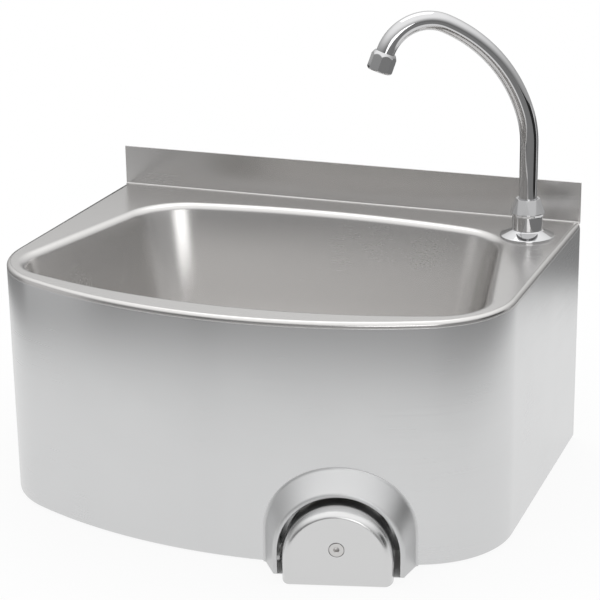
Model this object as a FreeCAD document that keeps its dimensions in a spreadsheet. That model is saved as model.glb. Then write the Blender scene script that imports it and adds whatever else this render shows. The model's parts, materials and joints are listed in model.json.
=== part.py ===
import FreeCAD, Part

import math
import os
import re

import Sketcher
from FreeCAD import Placement, Rotation, Vector

# Wall-hung hand wash sink with a knee-operated tap, in millimetres.
# +Z is up and the wall is the plane y = 0. The object stands out from it towards -Y,
# and +X is to the right of a person who washes. The origin is the middle of the
# wall bracket's line of fixing holes, on the wall.

SIZES = {
    # deck, upstand and apron, pressed and welded from sheet
    "sheet_thickness": 1.2,
    "deck_width": 450,
    "deck_depth": 340,
    "deck_height": 50,
    "deck_roll": 3.5,
    "deck_skirt": 5,
    "front_arc_radius": 425,
    "front_corner_radius": 84,
    "upstand_height": 37,
    "upstand_fold": 1,
    "apron_height": 209,
    "apron_foot_width": 16,
    "apron_foot_bend": 2.5,
    "apron_return_width": 26,
    "apron_return_drop": 20,
    "apron_hole_radius": 4.25,
    "apron_hole_margin": 19,
    "apron_hole_rise": 22,
    # deep drawn bowl
    "bowl_back_ledge": 33.6,
    "bowl_front_ledge": 22,
    "bowl_side_ledge": 37,
    "bowl_side_mark": 130,
    "bowl_side_flare": 12,
    "bowl_back_radius": 770,
    "bowl_front_radius": 535,
    "bowl_back_corner": 56,
    "bowl_front_corner": 47,
    "bowl_rim_roll": 7,
    "bowl_depth": 140,
    "bowl_draft": 12,
    "bowl_floor_radius": 62,
    "bowl_corner_taper": 0.12,
    # waste
    "waste_setback": 175,
    "waste_recess_radius": 36,
    "waste_recess_depth": 4,
    "waste_hole_radius": 25,
    "strainer_radius": 34,
    "strainer_thickness": 2,
    "strainer_hole_radius": 3.5,
    "strainer_hole_circle": 19,
    "strainer_hole_count": 8,
    "waste_seal_thickness": 1.5,
    "waste_seal_bore": 25.5,
    "waste_cup_radius": 27,
    "waste_cup_depth": 20,
    "waste_cup_wall": 2.5,
    "waste_flange_radius": 33,
    "waste_flange_thickness": 3,
    "waste_lower_seal_thickness": 2.5,
    "waste_thread_radius": 20.955,
    "waste_thread_length": 24,
    "waste_thread_bore": 18,
    "waste_taper": 5,
    "waste_bridge_width": 6,
    "waste_bridge_height": 9,
    "waste_boss_radius": 6,
    "waste_screw_radius": 3,
    "waste_screw_length": 24,
    "waste_screw_head_radius": 5.5,
    "waste_screw_head_height": 3,
    # hanging rail and wall bracket
    "rail_length": 300,
    "rail_thickness": 2,
    "rail_flange": 21,
    "rail_leg_offset": 3.5,
    "bracket_thickness": 2,
    "bracket_drop": 18,
    "bracket_ledge_height": 12,
    "bracket_hook_height": 16,
    "bracket_hook_offset": 6.5,
    "bracket_hole_radius": 4.5,
    "bracket_hole_spacing": 240,
    # spout
    "spout_side_margin": 35,
    "spout_setback": 56,
    "spout_heading": 32,
    "flange_radius": 24,
    "flange_edge": 1.8,
    "flange_height": 7,
    "flange_crown_radius": 14.5,
    "deck_seal_radius": 20,
    "deck_seal_thickness": 1.5,
    "spout_thread_radius": 10.48,
    "spout_bore_radius": 6,
    "spout_shank_length": 48,
    "collar_radius": 12.8,
    "collar_height": 13,
    "union_thread_radius": 11.4,
    "union_thread_length": 8,
    "union_height": 16,
    "union_rim_height": 2.5,
    "union_rim_radius": 14.2,
    "union_top_radius": 10.9,
    "union_flat_count": 8,
    "union_edge": 0.6,
    "union_shave": 0.2,
    "union_play": 0.08,
    "tube_radius": 8,
    "tube_wall": 1.3,
    "tube_socket_depth": 12,
    "tube_rise": 83,
    "tube_lean_radius": 96,
    "tube_lean_angle": 17.7,
    "tube_sweep_radius": 134,
    "tube_sweep_angle": 47.6,
    "tube_hook_radius": 38.7,
    "tube_hook_angle": 94.6,
    "tube_end": 6,
    "swivel_seal_wire": 1.1,
    "swivel_seal_depth": 6,
    "aerator_flats": 20.6,
    "aerator_flat_count": 8,
    "aerator_edge": 0.1,
    "aerator_length": 16,
    "aerator_shoulder": 4,
    "aerator_top_radius": 9.2,
    "aerator_rim_chamfer": 1.6,
    "aerator_bore_radius": 9,
    "aerator_bore_depth": 9,
    "aerator_insert_thickness": 5,
    "aerator_inset": 1.2,
    "aerator_seal_thickness": 1.5,
    "aerator_hole_radius": 1.1,
    "shank_washer_radius": 18,
    "shank_washer_thickness": 2,
    "shank_nut_flats": 29,
    "shank_nut_height": 7,
    # knee push unit; its own frame is on the apron's face, with +Y into the sink
    "knee_side_margin": 117,
    "knee_axis_rise": 31,
    "hood_base_radius": 61.5,
    "hood_base_centre": -8,
    "hood_lip_radius": 51.4,
    "hood_lip_centre": -12,
    "hood_projection": 17,
    "hood_wall": 1.4,
    "hood_sink": 12.75,
    "pad_radius": 44,
    "pad_centre": -11,
    "pad_projection": 35,
    "pad_depth": 30,
    "pad_roll": 8,
    "pad_corner": 9,
    "pad_wall": 1.5,
    "pad_travel": 12,
    "pad_screw_head_radius": 6,
    "pad_screw_radius": 3,
    "pad_screw_length": 14,
    "pad_socket_flats": 4,
    "pad_socket_depth": 2.4,
    "rod_radius": 7,
    "rod_flange_radius": 16,
    "rod_flange_thickness": 3,
    "rod_tail": 70,
    "carrier_setback": 27,
    "carrier_thickness": 2.5,
    "carrier_half_width": 56,
    "carrier_rise": 17,
    "neck_radius": 13,
    "neck_reach": 7,
    "neck_nut_flats": 32,
    "neck_nut_height": 5,
    "bush_radius": 10,
    "bush_length": 20,
    "bush_flange_radius": 12,
    "bush_flange_thickness": 2,
    "spring_radius": 11,
    "spring_wire": 1,
    "spring_turns": 7,
    "valve_radius": 18,
    "valve_length": 66,
    "chamber_radius": 13,
    "chamber_start": 40,
    "chamber_end": 86,
    "piston_radius": 12.93,
    "piston_start": 45,
    "piston_length": 11,
    "piston_seal_wire": 1.2,
    "cap_flats": 30,
    "cap_head": 8,
    "port_setback": 75,
    "port_radius": 13,
    "port_shoulder": 34,
    "port_thread_radius": 10.48,
    "port_thread_length": 12,
    "port_bore_radius": 6,
    # mixer on the valve's inlet port
    "mixer_radius": 16,
    "mixer_length": 113,
    "mixer_wall": 4,
    "link_gap": 2,
    "link_nut_flats": 27,
    "link_nut_length": 22,
    "inlet_near": 50,
    "inlet_pitch": 40,
    "inlet_boss_radius": 13,
    "inlet_boss_reach": 20,
    "check_spigot_radius": 9,
    "check_spigot_length": 7,
    "check_flats": 24,
    "check_hex_length": 6,
    "check_thread_length": 14,
    "check_bore_radius": 6,
    "filter_thickness": 1,
    "filter_inset": 1,
    "spindle_radius": 5,
    "spindle_depth": 30,
    "knob_radius": 15,
    "knob_length": 20,
    "knob_gap": 2,
    "knob_flute_radius": 3,
    "knob_flute_count": 10,
    "knob_screw_radius": 2,
    "knob_screw_head": 4,
    # rigid pipe from valve to spout
    "pipe_radius": 6,
    "pipe_wall": 1,
    "pipe_bend_radius": 24,
    "pipe_side_run": 45,
    "pipe_nut_flats": 26,
    "pipe_nut_length": 20,
    "pipe_nut_grip": 8,
    "olive_radius": 9,
    "olive_length": 6,
    # clearances between pieces
    "fit": 0.07,
    "sliding_fit": 0.05,
    "gap": 0.3,
    "hole_play": 0.3,
}

ALIAS = re.compile(r"\b(" + "|".join(SIZES) + r")\b")
UP = Vector(0, 0, 1)
NEAR = 1e-4
COIL_SAMPLES = 420


# ---------------------------------------------------------------- document and sketches


def size_sheet(doc):
    """Put every driving size in the spreadsheet, under its name."""
    sheet = doc.addObject("Spreadsheet::Sheet", "Sizes")
    for row, (alias, value) in enumerate(SIZES.items(), start=1):
        sheet.set(f"A{row}", alias)
        sheet.set(f"B{row}", str(value))
        sheet.setAlias(f"B{row}", alias)
    doc.recompute()
    return sheet


def bound(text):
    """An expression whose size names point at the spreadsheet."""
    return ALIAS.sub(r"Sizes.\g<0>", text)


class Model:
    """The document, its spreadsheet and the list of sub-parts."""

    def __init__(self):
        self.doc = FreeCAD.newDocument("HandWashSink")
        self.sheet = size_sheet(self.doc)
        self.pieces = []

    def value(self, text):
        """The number that an expression of size names has now."""
        return float(self.sheet.evalExpression(bound(text)))

    def keep(self, piece, label, place=None):
        """Make an object a sub-part of this name, in its place."""
        piece.Label = label
        if place is not None:
            piece.Placement = place
        self.pieces.append(piece)
        return piece

    def solid(self, label, shape, place=None):
        """A sub-part whose shape is worked out directly."""
        piece = self.doc.addObject("Part::Feature", label)
        piece.Shape = shape
        return self.keep(piece, label, place)

    def sketch(self, body, plane, offset="0"):
        """An empty sketch on one of the body's own planes, moved along its normal."""
        roles = {item.Role: item for item in body.Origin.OriginFeatures}
        sketch = body.newObject("Sketcher::SketchObject", "Sketch")
        sketch.AttachmentSupport = [(roles[plane], "")]
        sketch.MapMode = "FlatFace"
        sketch.setExpression("AttachmentOffset.Base.z", bound(offset))
        return sketch

    def pin_point(self, sketch, edge, end, corner):
        """Fix one end of an edge at an (x, y) pair of expressions."""
        for kind, text in zip(("DistanceX", "DistanceY"), corner):
            number = self.value(text)
            index = sketch.addConstraint(Sketcher.Constraint(kind, -1, 1, edge, end, number))
            sketch.setExpression(f"Constraints[{index}]", bound(text))

    def trace(self, sketch, corners):
        """Draw a closed outline.

        A corner is (x, y), or (x, y, radius) where an arc that turns left leads to it,
        or (x, y, radius, "right") where the arc turns right.
        """
        spots = [Vector(self.value(c[0]), self.value(c[1]), 0) for c in corners]
        first = sketch.GeometryCount
        for index, start in enumerate(spots):
            target = corners[(index + 1) % len(corners)]
            end = spots[(index + 1) % len(corners)]
            if len(target) == 2:
                sketch.addGeometry(Part.LineSegment(start, end), False)
                continue
            radius = self.value(target[2])
            leftward = len(target) == 3
            chord = end - start
            away = math.sqrt(max(radius**2 - chord.Length**2 / 4, 0))
            side = UP.cross(chord).normalize() * (away if leftward else -away)
            centre = (start + end) * 0.5 + side
            low, high = (start, end) if leftward else (end, start)
            angles = [math.atan2(p.y - centre.y, p.x - centre.x) for p in (low, high)]
            circle = Part.Circle(centre, UP, radius)
            arc = sketch.addGeometry(Part.ArcOfCircle(circle, *angles), False)
            bend = sketch.addConstraint(Sketcher.Constraint("Radius", arc, radius))
            sketch.setExpression(f"Constraints[{bend}]", bound(target[2]))
        for index, corner in enumerate(corners):
            edge = first + index
            forward = self.begins(corners[(index + 1) % len(corners)])
            self.pin_point(sketch, edge, forward, corner)
            before = first + (index - 1) % len(corners)
            last = 3 - self.begins(corner)
            sketch.addConstraint(Sketcher.Constraint("Coincident", before, last, edge, forward))
        return sketch

    @staticmethod
    def begins(target):
        """Which end of an edge is its start: an arc that turns right is kept reversed."""
        return 2 if len(target) == 4 else 1

    def ring(self, sketch, radius, x="0", y="0"):
        """Draw a circle."""
        centre = Vector(self.value(x), self.value(y), 0)
        edge = sketch.addGeometry(Part.Circle(centre, UP, self.value(radius)), False)
        self.pin_point(sketch, edge, 3, (x, y))
        size = sketch.addConstraint(Sketcher.Constraint("Radius", edge, self.value(radius)))
        sketch.setExpression(f"Constraints[{size}]", bound(radius))
        return sketch

    def polygon(self, sketch, flats, count, turn=0):
        """Draw a regular polygon of a width across its flats."""
        corners = []
        for index in range(count):
            angle = 360 * (index + 0.5) / count + turn
            reach = f"({flats}) / 2 / cos(180 deg / {count})"
            corners.append((f"{reach} * cos({angle} deg)", f"{reach} * sin({angle} deg)"))
        return self.trace(sketch, corners)

    def body(self, label, place=None):
        """An empty body that is a sub-part."""
        return self.keep(self.doc.addObject("PartDesign::Body", label), label, place)

    def turned(self, label, profile, place=None):
        """A body turned about its own Z from a half profile of (radius, height) corners."""
        body = self.body(label, place)
        outline = self.trace(self.sketch(body, "XZ_Plane"), profile)
        turn = body.newObject("PartDesign::Revolution", "Turn")
        turn.Profile = outline
        turn.ReferenceAxis = (outline, ["V_Axis"])
        turn.Angle = 360
        self.doc.recompute()
        return body

    def pad(self, body, sketch, length, both_ways=False, reverse=False):
        """Raise a sketch by a length, half to each side if both_ways."""
        pad = body.newObject("PartDesign::Pad", "Pad")
        pad.Profile = sketch
        pad.setExpression("Length", bound(length))
        pad.Midplane = both_ways
        pad.Reversed = reverse
        self.doc.recompute()
        return pad

    def pocket(self, body, sketch, length, both_ways=False, reverse=False):
        """Cut a sketch away over a length, and see that it did cut."""
        before = body.Shape.Volume
        pocket = body.newObject("PartDesign::Pocket", "Pocket")
        pocket.Profile = sketch
        pocket.setExpression("Length", bound(length))
        pocket.Midplane = both_ways
        pocket.Reversed = reverse
        self.doc.recompute()
        if body.Shape.Volume >= before:
            raise ValueError(f"a pocket in {body.Label} cuts nothing")
        return pocket

    def cut_flats(self, body, flats, bottom, length, count=6):
        """Cut flats round a turned body from a height upwards."""
        outline = self.sketch(body, "XY_Plane", bottom)
        self.polygon(outline, flats, count)
        self.ring(outline, f"({flats}) * 2")
        self.pocket(body, outline, length, reverse=True)

    def polar(self, body, feature, count):
        """Repeat a feature round the body's Z axis."""
        roles = {item.Role: item for item in body.Origin.OriginFeatures}
        pattern = body.newObject("PartDesign::PolarPattern", "Pattern")
        pattern.Originals = [feature]
        pattern.Axis = (roles["Z_Axis"], [""])
        pattern.Angle = 360
        pattern.setExpression("Occurrences", bound(count))
        body.Tip = pattern
        self.doc.recompute()
        return pattern

    def torus(self, label, large, small, place):
        """A round seal ring."""
        ring = self.doc.addObject("Part::Torus", label)
        ring.setExpression("Radius1", bound(large))
        ring.setExpression("Radius2", bound(small))
        return self.keep(ring, label, place)


# ---------------------------------------------------------------- places and outlines


def place_at(x, y, z, axis=UP, angle=0):
    """A placement at a point, turned by an angle in degrees about an axis."""
    return Placement(Vector(x, y, z), Rotation(axis, angle))


def arc_centre_y(model):
    """Y of the centre of the apron's front arc."""
    return model.value("front_arc_radius - deck_depth")


def knee_height(model):
    """Height of the push axis."""
    return model.value("deck_height - apron_height + knee_axis_rise")


def knee_place(model):
    """Frame on the apron's face on the push axis: X to the right, Y into the sink."""
    radius = model.value("front_arc_radius")
    angle = math.degrees(math.asin(model.value("deck_width / 2 - knee_side_margin") / radius))
    reach = Rotation(UP, angle).multVec(Vector(0, -radius, 0))
    height = knee_height(model)
    return place_at(reach.x, arc_centre_y(model) + reach.y, height, UP, angle)


def push_place(model):
    """The knee frame turned so that Z runs along the push axis, into the sink."""
    return knee_place(model) * place_at(0, 0, 0, Vector(1, 0, 0), -90)


def port_place(model, x):
    """On the valve's cross axis at x, with Z to the right."""
    offset = place_at(x, model.value("port_setback"), 0, Vector(0, 1, 0), 90)
    return knee_place(model) * offset


def inlet_place(model, x):
    """On the mixer at x, with Z into the sink along an inlet."""
    offset = place_at(x, model.value("port_setback"), 0, Vector(1, 0, 0), -90)
    return knee_place(model) * offset


def spout_place(model):
    """On the deck at the spout's foot, with X along the spout's heading."""
    heading = 180 + model.value("spout_heading")
    offset = model.value("deck_width / 2 - spout_side_margin")
    setback = model.value("spout_setback")
    return place_at(offset, -setback, model.value("deck_height"), UP, heading)


def waste_place(model):
    """On the bowl's floor at the middle of the waste."""
    floor = model.value("deck_height - bowl_depth")
    return place_at(0, -model.value("waste_setback"), floor)


def arc_through(start, middle, end):
    """A circular edge through three points."""
    return Part.Arc(start, middle, end).toShape()


def corner_arc(centre, radius, start, end):
    """A circular edge of a short corner from start to end."""
    middle = (start - centre) + (end - centre)
    return arc_through(start, centre + middle.normalize() * radius, end)


def mirrored(point):
    """The point on the other side of the middle plane."""
    return Vector(-point.x, point.y, point.z)


def deck_outline(model, inset, height, back):
    """Outline of deck and apron: straight sides, rounded corners and a bowed front.

    The outline is drawn in by inset and its back edge lies at y = back.
    """
    half = model.value("deck_width / 2") - inset
    radius = model.value("front_arc_radius") - inset
    corner = model.value("front_corner_radius") - inset
    centre = Vector(0, arc_centre_y(model), height)
    across = half - corner
    along = math.sqrt((radius - corner) ** 2 - across**2)
    knuckle = Vector(across, centre.y - along, height)
    side = knuckle + Vector(corner, 0, 0)
    shoulder = centre + (knuckle - centre).normalize() * radius
    nose = centre - Vector(0, radius, 0)
    rear = Vector(half, back, height)
    edges = [
        Part.LineSegment(mirrored(rear), rear).toShape(),
        Part.LineSegment(rear, side).toShape(),
        corner_arc(knuckle, corner, side, shoulder),
        arc_through(shoulder, nose, mirrored(shoulder)),
        corner_arc(mirrored(knuckle), corner, mirrored(shoulder), mirrored(side)),
        Part.LineSegment(mirrored(side), mirrored(rear)).toShape(),
    ]
    return Part.Wire(edges)


def bowl_outline(model, inset, height):
    """Outline of the bowl, drawn in by inset from the rim's outer line.

    The back and front are flat arcs, the sides flare towards the front, and the
    corners tighten a little as the bowl narrows.
    """
    tightening = model.value("bowl_corner_taper") * inset
    back_radius = model.value("bowl_back_radius") - inset
    front_radius = model.value("bowl_front_radius") - inset
    back_corner = model.value("bowl_back_corner") - tightening
    front_corner = model.value("bowl_front_corner") - tightening
    back_centre = Vector(0, -model.value("bowl_back_ledge + bowl_back_radius"), height)
    front_y = -model.value("deck_depth - bowl_front_ledge")
    front_centre = Vector(0, front_y + model.value("bowl_front_radius"), height)
    flare = math.radians(model.value("bowl_side_flare"))
    along = Vector(math.sin(flare), -math.cos(flare), 0)
    outward = Vector(math.cos(flare), math.sin(flare), 0)
    reach = model.value("deck_width / 2 - bowl_side_ledge")
    mark = Vector(reach, -model.value("bowl_side_mark"), height)
    side = mark - outward * inset

    def corner_centre(centre, radius, corner, towards_front):
        """Centre of the corner that touches the side line and an end arc."""
        base = side - outward * corner
        reach = (base - centre).dot(along)
        apart = (base - centre - along * reach).Length
        run = math.sqrt((radius - corner) ** 2 - apart**2)
        return base + along * (run - reach if towards_front else -run - reach)

    rear = corner_centre(back_centre, back_radius, back_corner, False)
    fore = corner_centre(front_centre, front_radius, front_corner, True)
    rear_end = back_centre + (rear - back_centre).normalize() * back_radius
    rear_side = rear + outward * back_corner
    fore_side = fore + outward * front_corner
    fore_end = front_centre + (fore - front_centre).normalize() * front_radius
    edges = [
        arc_through(mirrored(rear_end), back_centre + Vector(0, back_radius, 0), rear_end),
        corner_arc(rear, back_corner, rear_end, rear_side),
        Part.LineSegment(rear_side, fore_side).toShape(),
        corner_arc(fore, front_corner, fore_side, fore_end),
        arc_through(fore_end, front_centre - Vector(0, front_radius, 0), mirrored(fore_end)),
        corner_arc(mirrored(fore), front_corner, mirrored(fore_end), mirrored(fore_side)),
        Part.LineSegment(mirrored(fore_side), mirrored(rear_side)).toShape(),
        corner_arc(mirrored(rear), back_corner, mirrored(rear_side), mirrored(rear_end)),
    ]
    return Part.Wire(edges)


def bowl_block(model, outset):
    """The bowl as a solid, outset from its inner face by a sheet's thickness.

    The wall leans in by the draft angle and turns into the floor on a large radius.
    """
    top = model.value("deck_height")
    draft = math.radians(model.value("bowl_draft"))
    turn = model.value("bowl_floor_radius") + outset
    depth = model.value("bowl_depth") + outset
    roll = model.value("bowl_rim_roll")
    rim_inset = roll * math.tan((math.pi / 2 - draft) / 2) - outset / math.cos(draft)
    bend_depth = depth - turn
    bend_start = bend_depth + turn * math.sin(draft)
    bend_inset = rim_inset + bend_start * math.tan(draft) + turn * math.cos(draft)
    rise = roll
    levels = [(-rise, rim_inset - rise * math.tan(draft))]
    levels.append((bend_start / 2, rim_inset + bend_start / 2 * math.tan(draft)))
    for lean in (math.degrees(draft), 32, 52, 71, 90):
        angle = math.radians(lean)
        levels.append((bend_depth + turn * math.sin(angle), bend_inset - turn * math.cos(angle)))
    wires = [bowl_outline(model, inset, top - level) for level, inset in levels]
    return Part.makeLoft(wires, True, False)


def disc(radius, height, x, y, z):
    """A plain upright cylinder standing at a point."""
    return Part.makeCylinder(radius, height, Vector(x, y, z))


# ---------------------------------------------------------------- basin


def basin_top(model):
    """Deck with rolled edge, upstand and deep drawn bowl, one sheet."""
    value = model.value
    sheet = value("sheet_thickness")
    top = value("deck_height")
    skirt = value("deck_skirt")
    roll = value("deck_roll")
    fold = sheet + value("upstand_fold")
    wide = value("deck_width")
    outer = Part.Face(deck_outline(model, 0, top - skirt, -fold)).extrude(UP * skirt)
    outer = outer.makeFillet(roll, rolled_edges(outer, top, -fold))
    hollow = skirt - sheet
    inner = Part.Face(deck_outline(model, sheet, top - skirt, 0)).extrude(UP * hollow)
    inner = inner.makeFillet(roll - sheet, rolled_edges(inner, top - sheet, 0))
    deck = outer.cut(inner).fuse(bowl_block(model, sheet)).fuse(upstand(model, wide, fold))
    deck = deck.fuse(waste_dish(model, sheet))
    bowl = bowl_block(model, 0).fuse(waste_dish(model, 0)).removeSplitter()
    above = Part.makeBox(wide, wide, value("bowl_rim_roll") * 2)
    above.translate(Vector(-wide / 2, -wide - fold, top))
    deck = deck.cut(above).removeSplitter().cut(bowl)
    rim = value("bowl_rim_roll")
    for height, radius in ((top, rim), (top - sheet, rim - sheet)):
        mouth = [edge for edge in deck.Edges if is_rim(edge, model, height)]
        deck = deck.makeFillet(radius, mouth)
    place = spout_place(model).Base
    hole = disc(value("spout_thread_radius + hole_play"), sheet * 4, place.x, place.y, top - sheet * 2)
    drain = waste_place(model).Base
    drop = value("waste_recess_depth + sheet_thickness") * 2
    outlet = disc(value("waste_hole_radius"), drop, drain.x, drain.y, drain.z - drop)
    return model.solid("basin_top", deck.cut(hole).cut(outlet).Solids[0])


def rolled_edges(block, height, back):
    """The block's edges at a height, apart from the one along its back."""
    level = []
    for edge in block.Edges:
        box = edge.BoundBox
        flat = abs(box.ZMin - height) < NEAR and box.ZLength < NEAR
        if flat and box.YMin < back - NEAR:
            level.append(edge)
    return level


def is_rim(edge, model, height):
    """Whether an edge runs round the bowl's mouth, on the deck's face at this height."""
    box = edge.BoundBox
    side = model.value("deck_width / 2 - deck_roll") - 1
    front = -model.value("deck_depth - bowl_front_ledge / 2")
    back = -model.value("bowl_back_ledge")
    flat = abs(box.ZMin - height) < NEAR and box.ZLength < NEAR
    return flat and box.XMax < side and box.XMin > -side and front < box.YMin and box.YMax < back


def upstand(model, wide, fold):
    """The sheet folded up along the wall, with its sharp bend."""
    value = model.value
    sheet = value("sheet_thickness")
    inner = value("upstand_fold")
    top = value("deck_height")
    crest = top + value("upstand_height")
    diagonal = math.sqrt(0.5)
    bend = Vector(0, -fold, top + inner)

    def on_bend(radius):
        """Middle of the bend at a radius."""
        return bend + Vector(0, radius * diagonal, -radius * diagonal)

    corners = [
        Vector(0, -fold, top - sheet),
        Vector(0, 0, top + inner),
        Vector(0, 0, crest),
        Vector(0, -sheet, crest),
        Vector(0, -sheet, top + inner),
        Vector(0, -fold, top),
    ]
    edges = [
        arc_through(corners[0], on_bend(fold), corners[1]),
        Part.LineSegment(corners[1], corners[2]).toShape(),
        Part.LineSegment(corners[2], corners[3]).toShape(),
        Part.LineSegment(corners[3], corners[4]).toShape(),
        arc_through(corners[4], on_bend(inner), corners[5]),
        Part.LineSegment(corners[5], corners[0]).toShape(),
    ]
    strip = Part.Face(Part.Wire(edges)).extrude(Vector(wide, 0, 0))
    strip.translate(Vector(-wide / 2, 0, 0))
    return strip


def waste_dish(model, outset):
    """The pressed recess for the strainer, outset by a sheet's thickness."""
    value = model.value
    centre = waste_place(model).Base
    depth = value("waste_recess_depth")
    radius = value("waste_recess_radius")
    cone = Part.makeCone(radius + outset - depth / 2, radius + outset, depth, centre - UP * (depth + outset))
    return cone.fuse(disc(radius + outset, outset + 1, centre.x, centre.y, centre.z - outset))


def apron(model):
    """Welded skirt: bowed front, inward foot, returns along the wall, knee cut-out."""
    value = model.value
    sheet = value("sheet_thickness")
    bend = value("apron_foot_bend")
    foot = value("apron_foot_width")
    wide = value("deck_width")
    bottom = value("deck_height - apron_height")
    tall = value("apron_height - deck_skirt")
    outer = Part.Face(deck_outline(model, 0, bottom, 0)).extrude(UP * tall)
    outer = outer.makeFillet(bend, rolled_edges(outer, bottom, 0))
    inner = Part.Face(deck_outline(model, sheet, bottom + sheet, 1)).extrude(UP * tall)
    inner = inner.makeFillet(bend - sheet, rolled_edges(inner, bottom + sheet, 1))
    opening = Part.Face(deck_outline(model, foot, bottom - 1, 1)).extrude(UP * (sheet + 2))
    skirt = outer.cut(inner).cut(opening)
    width = value("apron_return_width")
    height = tall - value("apron_return_drop")
    for side in (-1, 1):
        strip = Part.makeBox(width - sheet / 2, sheet, height - sheet / 2)
        left = wide / 2 - width if side > 0 else -wide / 2 + sheet / 2
        strip.translate(Vector(left, -sheet, bottom + sheet / 2))
        skirt = skirt.fuse(strip)
    place = apron_hole_height(model)
    for side in (-1, 1):
        x = side * value("deck_width / 2 - apron_hole_margin")
        hole = Part.makeCylinder(
            value("apron_hole_radius"), sheet * 4, Vector(x, sheet, place), Vector(0, -1, 0)
        )
        skirt = skirt.cut(hole)
    skirt = skirt.removeSplitter().cut(knee_opening(model))
    return model.solid("apron", skirt)


def apron_hole_height(model):
    """Height of the lower fixing holes."""
    return model.value("deck_height - apron_height + apron_hole_rise")


def arch(model, radius, centre, y, foot):
    """An arch outline in the knee frame: half round over straight legs, flat at the foot."""
    corners = [Vector(-radius, y, foot), Vector(-radius, y, centre), Vector(radius, y, centre)]
    corners.append(Vector(radius, y, foot))
    edges = [
        Part.LineSegment(corners[0], corners[1]).toShape(),
        arc_through(corners[1], Vector(0, y, centre + radius), corners[2]),
        Part.LineSegment(corners[2], corners[3]).toShape(),
        Part.LineSegment(corners[3], corners[0]).toShape(),
    ]
    return Part.Wire(edges)


def knee_foot(model):
    """Height of the sink's bottom edge in the knee frame."""
    return -model.value("knee_axis_rise")


def knee_opening(model):
    """The arch cut through apron and foot, as wide as the hood's lip is inside."""
    value = model.value
    radius = value("hood_lip_radius - hood_wall")
    foot = knee_foot(model) - value("sheet_thickness") * 2
    face = Part.Face(arch(model, radius, value("hood_lip_centre"), -value("hood_projection"), foot))
    cutter = face.extrude(Vector(0, value("hood_projection + apron_foot_width") + radius / 5, 0))
    cutter.Placement = knee_place(model)
    return cutter


def knee_collar(model):
    """Arched hood that tapers out of the apron round the knee pad, open below."""
    value = model.value
    wall = value("hood_wall")
    out = value("hood_projection")
    foot = knee_foot(model)
    slope = (value("hood_base_radius - hood_lip_radius")) / out
    sink = value("hood_sink")
    drift = value("hood_base_centre - hood_lip_centre") / out

    def hood(inset, low):
        """The tapered arch, drawn in by inset, from inside the apron to the lip."""
        lip = arch(model, value("hood_lip_radius") - inset, value("hood_lip_centre"), -out, low)
        base_radius = value("hood_base_radius") + slope * sink - inset
        base = arch(model, base_radius, value("hood_base_centre") + drift * sink, sink, low)
        return Part.makeLoft([lip, base], True, True)

    shell = hood(0, foot).cut(hood(wall, foot - wall))
    shell.Placement = knee_place(model)
    wide = value("front_arc_radius")
    top = value("deck_height - apron_height")
    drum = disc(wide, value("apron_height"), 0, arc_centre_y(model), top - 1)
    return model.solid("knee_collar", shell.cut(drum))


# ---------------------------------------------------------------- hanging


def hanging_rail(model):
    """Angle welded under the deck; its leg drops behind the wall bracket's hook."""
    body = model.body("hanging_rail")
    near = "-rail_leg_offset"
    far = "-rail_leg_offset - rail_thickness"
    front = "-rail_leg_offset - rail_flange"
    under = "deck_height - sheet_thickness"
    profile = model.trace(
        model.sketch(body, "YZ_Plane"),
        [
            (near, "bracket_ledge_height"),
            (near, under),
            (front, under),
            (front, f"{under} - rail_thickness"),
            (far, f"{under} - rail_thickness"),
            (far, "bracket_ledge_height"),
        ],
    )
    model.pad(body, profile, "rail_length", both_ways=True)


def wall_bracket(model):
    """Folded bracket screwed to the wall; its ledge and hook carry the rail."""
    body = model.body("wall_bracket")
    hook = "-bracket_hook_offset"
    lip = "-bracket_hook_offset - bracket_thickness"
    ledge = "bracket_ledge_height"
    crest = "bracket_ledge_height + bracket_hook_height"
    profile = model.trace(
        model.sketch(body, "YZ_Plane"),
        [
            ("0", "-bracket_drop"),
            ("0", ledge),
            (hook, ledge),
            (hook, crest),
            (lip, crest),
            (lip, f"{ledge} - bracket_thickness"),
            ("-bracket_thickness", f"{ledge} - bracket_thickness"),
            ("-bracket_thickness", "-bracket_drop"),
        ],
    )
    model.pad(body, profile, "rail_length", both_ways=True)
    holes = model.sketch(body, "XZ_Plane")
    for side in ("-", ""):
        model.ring(holes, "bracket_hole_radius", f"{side}bracket_hole_spacing / 2", "0")
    model.pocket(body, holes, "bracket_thickness * 3", both_ways=True)


# ---------------------------------------------------------------- waste


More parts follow.
